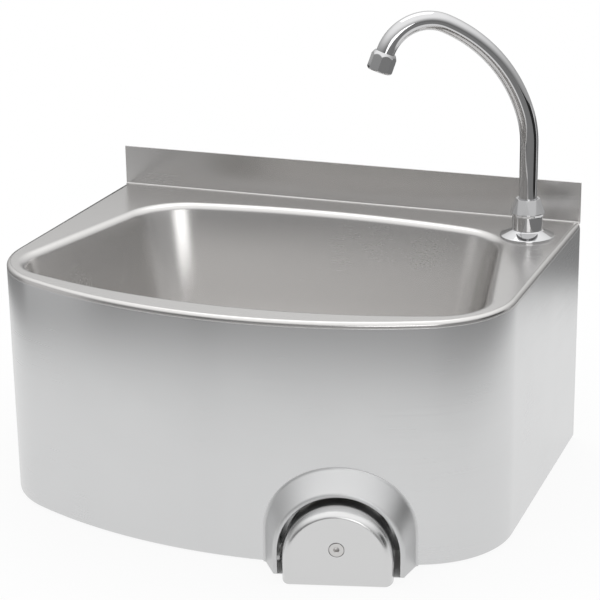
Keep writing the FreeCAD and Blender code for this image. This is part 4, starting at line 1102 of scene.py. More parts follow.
@dataclass(frozen=True)
class Knee:
    """The frame of the knee pad on the apron's face, with Y into the sink."""

    deck: DeckLine = DeckLine()
    side_margin: float = 117 * MM
    height: float = -128 * MM

    def place(self) -> Matrix:
        """The frame as a matrix.

        Returns:
            The placement.
        """
        swing = math.asin((self.deck.width / 2 - self.side_margin) / self.deck.arc_radius)
        x = self.deck.arc_radius * math.sin(swing)
        y = self.deck.centre_y - self.deck.arc_radius * math.cos(swing)
        return Matrix.Translation((x, y, self.height)) @ Matrix.Rotation(swing, 4, "Z")

    def push(self) -> Matrix:
        """The frame with Z along the push axis."""
        return self.place() @ Matrix.Rotation(-math.pi / 2, 4, "X")


@dataclass(frozen=True)
class Arch:
    """Half round over straight legs, seen along the push axis."""

    radius: float
    centre: float
    foot: float
    leg_steps: int = 10
    turn_steps: int = 72
    foot_steps: int = 24

    def legs(self, inset: float) -> np.ndarray:
        """The open arch from the left foot to the right one.

        Args:
            inset: How far it is drawn in.

        Returns:
            Rows across and up.
        """
        radius = self.radius - inset
        parts = [
            run((-radius, self.foot), (-radius, self.centre), self.leg_steps),
            arc((0, self.centre), radius, -math.pi / 2, math.pi / 2, self.turn_steps),
            run((radius, self.centre), (radius, self.foot), self.leg_steps),
        ]
        return joined(parts)


def standing(line: np.ndarray, y: Union[float, np.ndarray]) -> np.ndarray:
    """A line drawn across and up, set at a depth y."""
    return np.column_stack([line[:, 0], np.broadcast_to(y, len(line)), line[:, 1]])


@dataclass(frozen=True)
class Apron(SubAssembly):
    """Welded skirt with an inward foot, returns along the wall and the knee opening."""

    deck: DeckLine = DeckLine()
    knee: Knee = Knee()
    sheet: float = 1.2 * MM
    crest: float = 45 * MM
    low: float = -159 * MM
    foot_width: float = 16 * MM
    foot_bend: float = 2.5 * MM
    return_width: float = 26 * MM
    return_drop: float = 20 * MM
    hole_radius: float = 4.25 * MM
    hole_margin: float = 19 * MM
    hole_rise: float = 22 * MM
    edge: float = 0.3 * MM
    section_run: float = 12 * MM
    return_corner: float = 2 * MM
    return_steps: int = 4
    return_run: float = 6 * MM
    cut_front: float = -30 * MM
    cut_back: float = 40 * MM
    opening: Arch = Arch(49.5 * MM, -12.3 * MM, -34 * MM)

    def build(self) -> None:
        """Make every piece of the sub-assembly."""
        sheet, low, edge = self.sheet, self.low, self.edge
        corners = [
            (0, self.crest, edge),
            (0, low, self.foot_bend),
            (self.foot_width, low, edge),
            (self.foot_width, low + sheet, edge),
            (sheet, low + sheet, self.foot_bend - sheet),
            (sheet, self.crest, edge),
        ]
        section = rounded(corners, True)
        section = divided(np.concatenate([section, section[:1]]), self.section_run)[:-1]
        rings = [at_height(self.deck.skirt(inset, 0), z) for inset, z in section]
        skin = Skin().rings(rings, closed=False, loop=True)
        skin.cap(np.array([ring[0] for ring in rings]))
        skin.cap(np.array([ring[-1] for ring in rings]))
        piece = skin.build("apron_sheet")
        cut_away(piece, self.opening_tool())
        self.add_returns(piece)
        self.fit(piece, "apron", APRON_STEEL)

    def opening_tool(self) -> bpy.types.Object:
        """The closed form that cuts the knee opening.

        Returns:
            The tool, in its place.
        """
        line = self.opening.legs(0)
        near = standing(line, self.cut_front)
        far = standing(line, self.cut_back)
        skin = Skin().rings([near, far]).cap(near).cap(far)
        return skin.moved(self.knee.place()).build("opening_tool")

    def add_returns(self, piece: bpy.types.Object) -> None:
        """Join the two flanges that lie on the wall, with their screw holes.

        Args:
            piece: The apron, which takes them in.
        """
        half = self.deck.width / 2
        inner = half - self.return_width
        outer = half - self.sheet / 2
        bottom = self.low + self.sheet / 2
        top = self.crest - self.return_drop
        centre = np.array([half - self.hole_margin, self.low + self.hole_rise])
        corner = self.return_corner
        corners = [(inner, bottom, corner), (outer, bottom, 0), (outer, top, 0), (inner, top, corner)]
        outline = divided(rounded(corners, True, self.return_steps), self.return_run)
        way = outline - centre
        ring = centre + way / np.linalg.norm(way, axis=1)[:, None] * self.hole_radius
        skin = Skin()
        for side in (1, -1):
            flip = np.array([side, 1, 1])
            front = -self.sheet
            loops = [(outline, 0.0), (outline, front), (ring, front), (ring, 0.0)]
            skin.rings([standing(line, y) * flip for line, y in loops], loop=True)
        flanges = skin.build("returns")
        form = bmesh.new()
        form.from_mesh(piece.data)
        form.from_mesh(flanges.data)
        form.to_mesh(piece.data)
        form.free()
        bpy.data.objects.remove(flanges)


@dataclass(frozen=True)
class KneeUnit(SubAssembly):
    """The hood on the apron, the pressed pad in it, the pad's screw and its spring."""

    deck: DeckLine = DeckLine()
    knee: Knee = Knee()
    base: Arch = Arch(59.5 * MM, -5 * MM, -31 * MM)
    lip: Arch = Arch(52.6 * MM, -12.3 * MM, -31 * MM)
    projection: float = 17 * MM
    wall: float = 1.4 * MM
    lip_roll: float = 4 * MM
    mouth_inset: float = 3.1 * MM
    cut_roll: float = 0.2 * MM
    inner_overlap: float = 6 * MM
    search_depth: float = 14 * MM
    search_halvings: int = 40
    weld: float = 1.8 * MM
    weld_lift: float = 0.04 * MM
    weld_steps: int = 6
    wall_steps: int = 9
    inner_steps: int = 5
    lip_steps: int = 12
    pad: Arch = Arch(44.6 * MM, -11.2 * MM, -31 * MM)
    pad_projection: float = 34.6 * MM
    pad_depth: float = 30 * MM
    pad_wall: float = 1.1 * MM
    roll_width: float = 6.4 * MM
    roll_depth: float = 13 * MM
    roll_steps: int = 20
    rim_overlap: float = 1 * MM
    rim_steps: int = 4
    face_shares: tuple[float, ...] = (0, 0.03, 0.35, 0.7, 1.0)
    seat_margin: float = 0.5 * MM
    seat_break: float = 0.15 * MM
    head_radius: float = 6 * MM
    head_play: float = 0.3 * MM
    screw_radius: float = 3 * MM
    screw_length: float = 14 * MM
    socket_flats: float = 4 * MM
    socket_depth: float = 4.5 * MM
    socket_cone: float = 0.6 * MM
    screw_steps: int = 96
    head_edge: tuple[Span, ...] = ((0, 0.35), (0.15, 0.1), (0.45, 0), (0.8, 0))
    key_edge: tuple[Span, ...] = ((1.25, 0), (1.12, 0.02), (1.0, 0.3))
    spring_start: float = -29.2 * MM
    spring_end: float = 16.7 * MM
    spring_radius: float = 11 * MM
    spring_wire: float = 1 * MM
    spring_turns: int = 7
    spring_turn_steps: int = 40
    spring_sides: int = 12
    travel: float = 12 * MM

    def build(self) -> None:
        """Make every piece of the sub-assembly."""
        self.press(self.fit(self.spring().build("wound_spring"), "return_spring", SPRING_STEEL))
        self.fit(self.hood().build("knee_hood"), "knee_collar", HOOD_STEEL)
        self.fit(self.push_pad().build("push_pad"), "knee_pad", PAD_STEEL)
        self.fit(self.screw().build("socket_screw"), "pad_screw", FITTING_STEEL)

    def spring(self) -> Skin:
        """Coil between the rod's flange and the neck of the valve.

        Returns:
            The coil's skin, in its place.
        """
        rise = self.spring_end - self.spring_start
        section = np.linspace(0, 2 * math.pi, self.spring_sides, endpoint=False)
        rings = []
        for share in np.linspace(0, 1, self.spring_turns * self.spring_turn_steps + 1):
            angle = 2 * math.pi * self.spring_turns * share
            outward = np.array([math.cos(angle), math.sin(angle), 0.0])
            height = self.spring_start + rise * share
            middle = self.spring_radius * outward + np.array([0, 0, height])
            around = np.outer(np.cos(section), outward) + np.outer(np.sin(section), [0, 0, 1])
            rings.append(middle + self.spring_wire * around)
        return Skin().rings(rings).cap(rings[0][::-1]).cap(rings[-1]).moved(self.knee.push())

    def press(self, coil: bpy.types.Object) -> None:
        """Give the spring a mesh of its own.

        Args:
            coil: The spring, in its place.
        """
        push = self.knee.push()
        seat = push @ Vector((0, 0, self.spring_end + self.spring_wire))
        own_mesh(coil)

    def wall_line(self, inset: float, depth: np.ndarray) -> np.ndarray:
        """The hood's arch at a depth behind the lip, one depth for each point.

        Args:
            inset: How far the arch is drawn in.
            depth: The depth of each point in the knee's frame.

        Returns:
            Rows of points.
        """
        share = (depth + self.projection) / self.projection
        lip = self.lip.legs(inset)
        base = self.base.legs(inset)
        line = lip + (base - lip) * share[:, None]
        return standing(line, depth)

    def depth_on_apron(self, inset: float, radius: float) -> np.ndarray:
        """The depth at which each point of the arch meets a round face of the apron.

        Args:
            inset: How far the arch is drawn in.
            radius: Radius of the apron's face.

        Returns:
            One depth for each point.
        """
        axis = np.array([0.0, self.deck.arc_radius])
        near = np.full(len(self.lip.legs(inset)), -self.projection)
        far = np.full(len(near), self.search_depth)
        for _ in range(self.search_halvings):
            middle = (near + far) / 2
            line = self.wall_line(inset, middle)
            outside = np.linalg.norm(line[:, :2] - axis, axis=1) > radius
            near = np.where(outside, middle, near)
            far = np.where(outside, far, middle)
        return (near + far) / 2

    def outward(self, line: np.ndarray, centre: float) -> np.ndarray:
        """The direction away from an arch's middle, level beside its legs.

        Args:
            line: Rows of the arch's points.
            centre: Height of its centre.

        Returns:
            One direction for each point.
        """
        way = (line - np.array([0, 0, centre])) * np.array([1, 0, 1])
        way[line[:, 2] < centre, 2] = 0
        return way / np.linalg.norm(way, axis=1)[:, None]

    def hood(self) -> Skin:
        """The tapered arch, welded to the apron, with a rolled lip.

        Returns:
            The hood's skin, in its place.
        """
        face = self.deck.arc_radius
        seat = self.depth_on_apron(0, face)
        base = self.wall_line(0, seat)
        flow = self.wall_line(0, seat - self.weld)
        spread = self.spread(base, face)
        rings = []
        for share in np.linspace(0, 1, self.weld_steps + 1):
            bow = spread * (1 - share) ** 2 + base * 2 * share * (1 - share) + flow * share**2
            rings.append(bow)
        way = self.outward(standing(self.lip.legs(0), 0), self.lip.centre)
        widening = self.base.radius - self.lip.radius
        widening = widening + (self.base.centre - self.lip.centre) * np.maximum(way[:, 2], 0)
        taper = np.arctan(widening / self.projection)
        start = -self.projection + self.lip_roll * (1 - np.sin(taper))
        for share in np.linspace(0, 1, self.wall_steps + 1)[1:]:
            rings.append(self.wall_line(0, (seat - self.weld) * (1 - share) + start * share))
        rings += self.lip_rings(start, taper, way)
        inside = self.depth_on_apron(self.wall, face - self.inner_overlap)
        for share in np.linspace(0, 1, self.inner_steps + 1)[1:]:
            rings.append(self.wall_line(self.wall, start * (1 - share) + inside * share))
        return Skin().rings(rings, closed=False, loop=True).moved(self.knee.place())

    def spread(self, base: np.ndarray, face: float) -> np.ndarray:
        """The weld's outer line on the apron, a weld's width out from the hood.

        Args:
            base: The line on which the hood meets the apron.
            face: Radius of the apron's face.

        Returns:
            Rows of points.
        """
        out = base + self.outward(base, self.base.centre) * self.weld
        out[:, 1] = face - np.sqrt((face + self.weld_lift) ** 2 - out[:, 0] ** 2)
        return out

    def lip_rings(self, start: np.ndarray, taper: np.ndarray, way: np.ndarray) -> Rings:
        """Rings of the roll: out to the front, over the cut edge and back inside.

        Args:
            start: Depth at which the roll leaves the hood's wall, for each point.
            taper: Lean of the wall there.
            way: Direction away from the arch's middle.

        Returns:
            The rings.
        """
        ahead = np.array([0, -1, 0])
        lean = taper[:, None]
        seat = self.wall_line(0, start)
        centre = seat - (way * np.cos(lean) + ahead * np.sin(lean)) * self.lip_roll
        rings = []
        shares = np.linspace(0, 1, self.lip_steps + 1)
        for share in shares:
            turn = lean + (math.pi / 2 - lean) * share
            rings.append(centre + (way * np.cos(turn) + ahead * np.sin(turn)) * self.lip_roll)
        mouth = self.lip.legs(self.mouth_inset)
        rings.append(standing(mouth, -self.projection) + way * self.cut_roll)
        rings.append(standing(mouth, -self.projection + self.cut_roll))
        rings.append(standing(mouth, -self.projection + self.wall))
        radius = self.lip_roll - self.wall
        for share in shares[::-3]:
            turn = lean + (math.pi / 2 - lean) * share
            rings.append(centre + (way * np.cos(turn) + ahead * np.sin(turn)) * radius)
        return rings

    def push_pad(self) -> Skin:
        """The pressed pad: edge rolled back round a flat face, cut level at the foot.

        Returns:
            The pad's skin, in its place.
        """
        front = -self.pad_projection
        skin = Skin()
        rings = self.pad_side(self.pad_wall)[::-1] + self.pad_side(0)
        skin.rings(rings, closed=False)
        for end in (0, -1):
            skin.cap(np.array([ring[end] for ring in rings]))
        skin.rings(self.pad_face(front, self.head_radius + self.head_play))
        skin.rings(self.pad_face(front + self.pad_wall, self.head_radius - self.pad_wall))
        foot = self.foot_line()
        skin.rings([standing(foot, front), standing(foot, front + self.pad_wall)], closed=False)
        return skin.moved(self.knee.place())

    def pad_side(self, inset: float) -> Rings:
        """Open rings of one face of the pad's rim, from its rear edge to the flat face.

        Args:
            inset: How far inside the outer face it lies.

        Returns:
            The rings.
        """
        front = -self.pad_projection + inset
        width = self.roll_width - inset
        depth = self.roll_depth - inset
        back = -self.pad_projection + self.pad_depth
        depths = np.linspace(back, front + depth + self.rim_overlap, self.rim_steps + 1)
        rings = [standing(self.pad.legs(inset), y) for y in depths]
        for angle in np.linspace(0, math.pi / 2, self.roll_steps + 1):
            line = self.pad.legs(inset + width * (1 - math.cos(angle)))
            rings.append(standing(line, front + depth * (1 - math.sin(angle))))
        return rings

    def foot_line(self) -> np.ndarray:
        """The level edge of the pad's flat face, from right to left."""
        half = self.pad.radius - self.roll_width
        return run((half, self.pad.foot), (-half, self.pad.foot), self.pad.foot_steps)

    def pad_face(self, depth: float, hole: float) -> Rings:
        """Closed rings of the flat face, from its outline to the screw's seat.

        Args:
            depth: The face's depth in the knee's frame.
            hole: Radius of the seat.

        Returns:
            The rings.
        """
        outline = joined([self.pad.legs(self.roll_width), self.foot_line()])[:-1]
        edge = standing(outline, depth)
        way = edge * np.array([1, 0, 1])
        way = way / np.linalg.norm(way, axis=1)[:, None]
        seat = way * (hole + self.seat_margin) + np.array([0, depth, 0])
        rings = [edge * (1 - share) + seat * share for share in self.face_shares]
        rings.append(way * (hole + self.seat_break) + np.array([0, depth, 0]))
        rings.append(way * hole + np.array([0, depth + self.seat_break, 0]))
        return rings

    def screw(self) -> Skin:
        """Countersunk screw with a hexagon socket.

        Returns:
            The screw's skin, in its place.
        """
        face = -self.pad_projection
        steps = self.screw_steps
        turn = np.linspace(0, 2 * math.pi, steps, endpoint=False)
        sixth = math.pi / 3
        hexagon = (self.socket_flats / 2) / np.cos((turn % sixth) - sixth / 2)
        key = np.column_stack([hexagon * np.cos(turn), hexagon * np.sin(turn), np.zeros(steps)])
        sunk = face + self.socket_depth
        neck = face + self.head_radius - self.screw_radius
        tip = face + self.screw_length
        profile = [(0, tip), (self.screw_radius, tip), (self.screw_radius, neck)]
        for inset, depth in self.head_edge:
            profile.append((self.head_radius - inset * MM, face + depth * MM))
        rings = [circle(radius, z, steps) for radius, z in profile]
        for share, depth in self.key_edge:
            rings.append(key * share + np.array([0, 0, face + depth * MM]))
        rings.append(key + np.array([0, 0, sunk]))
        rings.append(circle(0, sunk + self.socket_cone, steps))
        return Skin().rings(rings).moved(self.knee.push())


@dataclass(frozen=True)
class Spout(SubAssembly):
    """Flange, collar, union nut, swan neck and aerator."""

    deck: DeckLine = DeckLine()
    side_margin: float = 35 * MM
    setback: float = 56 * MM
    deck_top: float = 50 * MM
    heading: float = math.radians(32)
    flange_radius: float = 24 * MM
    flange_edge: float = 1.8 * MM
    flange_height: float = 7 * MM
    crown_radius: float = 14.5 * MM
    seal_radius: float = 20.3 * MM
    seal_thickness: float = 1.5 * MM
    thread_radius: float = 10.48 * MM
    bore_radius: float = 6 * MM
    shank: float = 48 * MM
    collar_radius: float = 13.6 * MM
    collar_height: float = 13 * MM
    union_thread: float = 11.4 * MM
    union_grip: float = 8 * MM
    union_height: float = 14.8 * MM
    union_rim: float = 2.5 * MM
    union_wide: float = 15.4 * MM
    union_narrow: float = 10.3 * MM
    tube_radius: float = 8 * MM
    tube_wall: float = 1.3 * MM
    socket_depth: float = 12 * MM
    tube_rise: float = 83 * MM
    bends: tuple[tuple[float, float], ...] = ((96.0, 17.7), (134.0, 47.6), (38.7, 94.6))
    tube_end: float = 6 * MM
    aerator_flats: float = 20.6 * MM
    aerator_length: float = 17 * MM
    aerator_shoulder: float = 4 * MM
    aerator_top: float = 9.2 * MM
    aerator_bore: float = 9 * MM
    aerator_bore_depth: float = 9 * MM
    aerator_edge: float = 1.6 * MM
    aerator_crease: float = 32.0
    flat_count: int = 8
    flat_steps: int = 28
    flat_blend: float = 0.12 * MM
    flat_cut: float = 0.2 * MM
    facet_run: float = 0.5 * MM
    flange_steps: int = 128
    collar_steps: int = 112
    tube_steps: int = 64
    rise_steps: int = 8
    least_bend_steps: int = 8
    end_shares: tuple[float, ...] = (0.33, 0.66, 1.0)

    def place(self) -> Matrix:
        """On the deck at the spout's foot, with X along the spout's heading.

        Returns:
            The placement.
        """
        x = self.deck.width / 2 - self.side_margin
        spot = Matrix.Translation((x, -self.setback, self.deck_top))
        return spot @ Matrix.Rotation(math.pi + self.heading, 4, "Z")

    def build(self) -> None:
        """Make every piece of the sub-assembly."""
        place = self.place()
        self.fit(self.flange().moved(place).build("spout_rose"), "spout_flange", CHROME)
        self.fit(self.collar().moved(place).build("spout_collar"), "spout_body", CHROME)
        self.fit(self.union().moved(place).build("spout_union"), "union_nut", CHROME)
        self.fit(self.neck().moved(place).build("swan_neck_tube"), "spout_tube", CHROME)
        mouth = place @ self.mouth()
        housing = self.aerator().moved(mouth).build("aerator_case", self.aerator_crease)
        self.fit(housing, "aerator_housing", CHROME)

    def flange(self) -> Skin:
        """Low cover on the deck, with a thin upright edge.

        Returns:
            The flange's skin.
        """
        bore = self.thread_radius + THREAD_PLAY
        corners = [
            (self.seal_radius, 0, 0),
            (self.flange_radius, 0, 0.3 * MM),
            (self.flange_radius, self.flange_edge, 0.9 * MM),
            (self.crown_radius, self.flange_height - 1 * MM, 1.5 * MM),
            (self.crown_radius - 1 * MM, self.flange_height, 0.3 * MM),
            (bore, self.flange_height, 0),
            (bore, self.seal_thickness, 0),
            (self.seal_radius, self.seal_thickness, 0),
        ]
        return Skin().turned(corners, self.flange_steps)

    def collar(self) -> Skin:
        """Turned body between flange and nut, threaded shank below, bored through.

        Returns:
            The collar's skin.
        """
        top = self.flange_height + self.collar_height
        crest = top + self.union_grip
        socket = self.tube_radius + TUBE_PLAY
        floor = crest - self.socket_depth - SEAT_PLAY
        corners = [
            (self.bore_radius, -self.shank, 0.3 * MM),
            (self.thread_radius, -self.shank, 0.8 * MM),
            (self.thread_radius, self.flange_height, 0),
            (self.collar_radius, self.flange_height, 0.5 * MM),
            (self.collar_radius, top, 0.6 * MM),
            (self.union_thread, top, 0),
            (self.union_thread, crest, 0.5 * MM),
            (socket, crest, 0.3 * MM),
            (socket, floor, 0),
            (self.bore_radius, floor, 0),
        ]
        return Skin().turned(corners, self.collar_steps)

    def faceted(self, profile: np.ndarray, flats: Callable[[float], float]) -> Rings:
        """Rings of a turned form with flats milled on it.

        Args:
            profile: Rows of radius and height of the turned form.
            flats: Distance of the flats from the axis at a height.

        Returns:
            The rings.
        """
        steps = self.flat_count * self.flat_steps
        soft = self.flat_blend
        turn = np.linspace(0, 2 * math.pi, steps, endpoint=False)
        sector = 2 * math.pi / self.flat_count
        off = (turn + sector / 2) % sector - sector / 2
        rings = []
        for radius, z in profile:
            flat = flats(z) / np.cos(off)
            apart = np.clip(0.5 + (flat - radius) / (2 * soft), 0, 1)
            mixed = flat * (1 - apart) + radius * apart - soft * apart * (1 - apart)
            line = np.column_stack([mixed * np.cos(turn), mixed * np.sin(turn)])
            rings.append(at_height(line, z))
        return rings

    def union(self) -> Skin:
        """Union nut: eight leaning flats over a round rim.

        Returns:
            The nut's skin.
        """
        low = self.flange_height + self.collar_height
        high = low + self.union_height
        rim = low + self.union_rim
        outside = rounded(
            [
                (self.union_wide - 1.2 * MM, low, 0),
                (self.union_wide - 0.6 * MM, low, 0.3 * MM),
                (self.union_wide, rim, 1.3 * MM),
                (self.union_narrow + 0.6 * MM, high, 0.5 * MM),
                (self.union_narrow - 1.5 * MM, high, 0),
            ],
            False,
        )
        outside = divided(outside, self.facet_run)
        lean = (self.union_wide - self.union_narrow) / (high - rim)

        def flats(z: float) -> float:
            """Distance of the flats from the axis."""
            return self.union_wide - self.flat_cut - (z - rim) * lean

        rings = self.faceted(outside, flats)
        steps = len(rings[0])
        bore = self.tube_radius + 2 * TUBE_PLAY
        thread = self.union_thread + THREAD_PLAY
        seat = low + self.union_grip + SEAT_PLAY
        inside = [
            (bore + 0.5 * MM, high),
            (bore, high - 0.5 * MM),
            (bore, seat),
            (thread, seat),
            (thread, low),
        ]
        rings += [circle(radius, z, steps) for radius, z in inside]
        return Skin().rings(rings, loop=True)

    def path(self) -> list[tuple[np.ndarray, float]]:
        """The neck's centreline, as points with the angle from upright there.

        Returns:
            Pairs of a point, across and up, and its angle.
        """
        start = self.flange_height + self.collar_height + self.union_grip - self.socket_depth
        heights = np.linspace(start, self.tube_rise, self.rise_steps + 1)
        points = [(np.array([0.0, height]), 0.0) for height in heights]
        lean = 0.0
        for radius_mm, degrees in self.bends:
            radius = radius_mm * MM
            here = points[-1][0]
            centre = here + radius * np.array([math.cos(lean), -math.sin(lean)])
            goal = lean + math.radians(degrees)
            steps = max(self.least_bend_steps, int(degrees))
            for turn in np.linspace(lean, goal, steps)[1:]:
                point = centre - radius * np.array([math.cos(turn), -math.sin(turn)])
                points.append((point, float(turn)))
            lean = goal
        way = np.array([math.sin(lean), math.cos(lean)])
        here = points[-1][0]
        for share in self.end_shares:
            points.append((here + way * self.tube_end * share, lean))
        return points

    def neck(self) -> Skin:
        """Swan neck: one bright tube, open at both ends.

        Returns:
            The tube's skin.
        """
        turn = np.linspace(0, 2 * math.pi, self.tube_steps, endpoint=False)

        def ring(point: np.ndarray, lean: float, radius: float) -> np.ndarray:
            """A ring square to the centreline.

            Args:
                point: Where it lies, across and up.
                lean: The centreline's angle from upright there.
                radius: Its radius.

            Returns:
                Rows of its points.
            """
            across = np.array([math.cos(lean), 0, -math.sin(lean)])
            aside = np.array([0, 1, 0])
            middle = np.array([point[0], 0, point[1]])
            around = np.outer(np.cos(turn), across) + np.outer(np.sin(turn), aside)
            return middle + radius * around

        path = self.path()
        inner = self.tube_radius - self.tube_wall
        rings = [ring(point, lean, self.tube_radius) for point, lean in path]
        rings += [ring(point, lean, inner) for point, lean in path[::-1]]
        return Skin().rings(rings, loop=True)

    def mouth(self) -> Matrix:
        """At the end of the neck, with Z along it.

        Returns:
            The placement.
        """
        point, lean = self.path()[-1]
        spot = Matrix.Translation((point[0], 0, point[1]))
        return spot @ Matrix.Rotation(lean, 4, "Y")

    def aerator(self) -> Skin:
        """Faceted housing with a conical shoulder and a broken lower edge.

        Returns:
            The housing's skin.
        """
        start = -self.tube_end
        end = start + self.aerator_length
        sector = math.pi / self.flat_count
        wide = self.aerator_flats / 2 / math.cos(sector) + TUBE_PLAY
        outside = rounded(
            [
                (self.tube_radius + TUBE_PLAY, start, 0),
                (self.aerator_top, start, 0.3 * MM),
                (wide, start + self.aerator_shoulder, 0.3 * MM),
                (wide, end - self.aerator_edge, 0.3 * MM),
                (wide - self.aerator_edge, end, 0.4 * MM),
                (self.aerator_bore, end, 0),
            ],
            False,
        )
        outside = divided(outside, self.facet_run)

        def flats(_: float) -> float:
            """Distance of the flats from the axis."""
            return self.aerator_flats / 2

        rings = self.faceted(outside, flats)
        steps = len(rings[0])
        seat = end - self.aerator_bore_depth
        inside = [
            (self.aerator_bore, end - 0.3 * MM),
            (self.aerator_bore, seat),
            (self.bore_radius, seat),
            (self.bore_radius, 0),
            (self.tube_radius + THREAD_PLAY, 0),
            (self.tube_radius + THREAD_PLAY, start),
        ]
        rings += [circle(radius, z, steps) for radius, z in inside]
        return Skin().rings(rings, loop=True)


@dataclass(frozen=True)
class Carried(SubAssembly):
    """Solids whose shape is right already: they keep it and get their finish."""

    by_slot: tuple[tuple[str, Finish], ...] = (
        ("stainless", FITTING_STEEL),
        ("chrome", CHROME),
        ("nickel_brass", BRASS),
        ("seal_rubber", RUBBER),
        ("plastic", PLASTIC),
    )
    special: tuple[tuple[str, Finish], ...] = (
        ("temperature_knob", DARK_PLASTIC),
        ("cold_filter", GAUZE),
        ("hot_filter", GAUZE),
        ("hanging_rail", APRON_STEEL),
        ("wall_bracket", APRON_STEEL),
        ("valve_carrier", APRON_STEEL),
        ("waste_strainer", PAD_STEEL),
    )

    def build(self) -> None:
        """Make every piece of the sub-assembly."""
        finishes = dict(self.by_slot)
        special = dict(self.special)
        for name, node in sorted(frame["nodes"].items()):
            if node.hide_render:
                continue
            finish = special.get(name, finishes[self.slots[name]])
            node.data.materials.clear()
            node.data.materials.append(finish.material())
            LOG.info("%s keeps its shape, %s", name, finish.name)


# ---------------------------------------------------------------- studio


def aimed(spot: Corner, aim: Corner, facing: str) -> Matrix:
    """Stand something at a spot and turn it to an aim.

    Args:
        spot: Where it stands.
        aim: The point that it faces.
        facing: Its own axis that points there.

    Returns:
        The placement.
    """
    turn = (Vector(aim) - Vector(spot)).to_track_quat(facing, "Y")
    return Matrix.Translation(spot) @ turn.to_matrix().to_4x4()


def flat_sheet(name: str, width: float, depth: float, z: float = 0.0) -> bpy.types.Object:
    """Put a level rectangle about the origin into the scene.

    Args:
        name: Its name.
        width: Its size along X.
        depth: Its size along Y.
        z: Its height.

    Returns:
        The new object.
    """
    x, y = width / 2, depth / 2
    mesh = bpy.data.meshes.new(name)
    mesh.from_pydata([(-x, -y, z), (x, -y, z), (x, y, z), (-x, y, z)], [], [(0, 1, 2, 3)])
    return in_scene(bpy.data.objects.new(name, mesh))


@dataclass(frozen=True)
class Lamp:
    """A soft rectangular lamp that the camera doesn't see."""

    name: str
    spot: Corner
    aim: Corner
    width: float
    height: float
    power: float

    def build(self) -> None:
        """Hang the lamp."""
        light = bpy.data.lights.new(self.name, "AREA")
        light.shape = "RECTANGLE"
        light.size = self.width
        light.size_y = self.height
        light.energy = self.power
        lamp = in_scene(bpy.data.objects.new(self.name, light))
        lamp.matrix_world = aimed(self.spot, self.aim, "-Z")
        lamp.visible_camera = False


@dataclass(frozen=True)
class Card:
    """A flat card that only reflections see, pale or dark."""

    name: str
    spot: Corner
    aim: Corner
    width: float
    height: float
    level: float

    def build(self) -> None:
        """Stand the card up."""
        card = flat_sheet(self.name, self.width, self.height)
        card.matrix_world = aimed(self.spot, self.aim, "Z")
        material, graph = fresh_material(self.name)
        colour = (self.level, self.level, self.level, 1.0)
        glow = graph.node("ShaderNodeEmission", {}, {"Color": colour})
        graph.node("ShaderNodeOutputMaterial", {}, {"Surface": glow})
        card.data.materials.append(material)
        card.visible_camera = False
        card.visible_shadow = False
        card.visible_diffuse = False


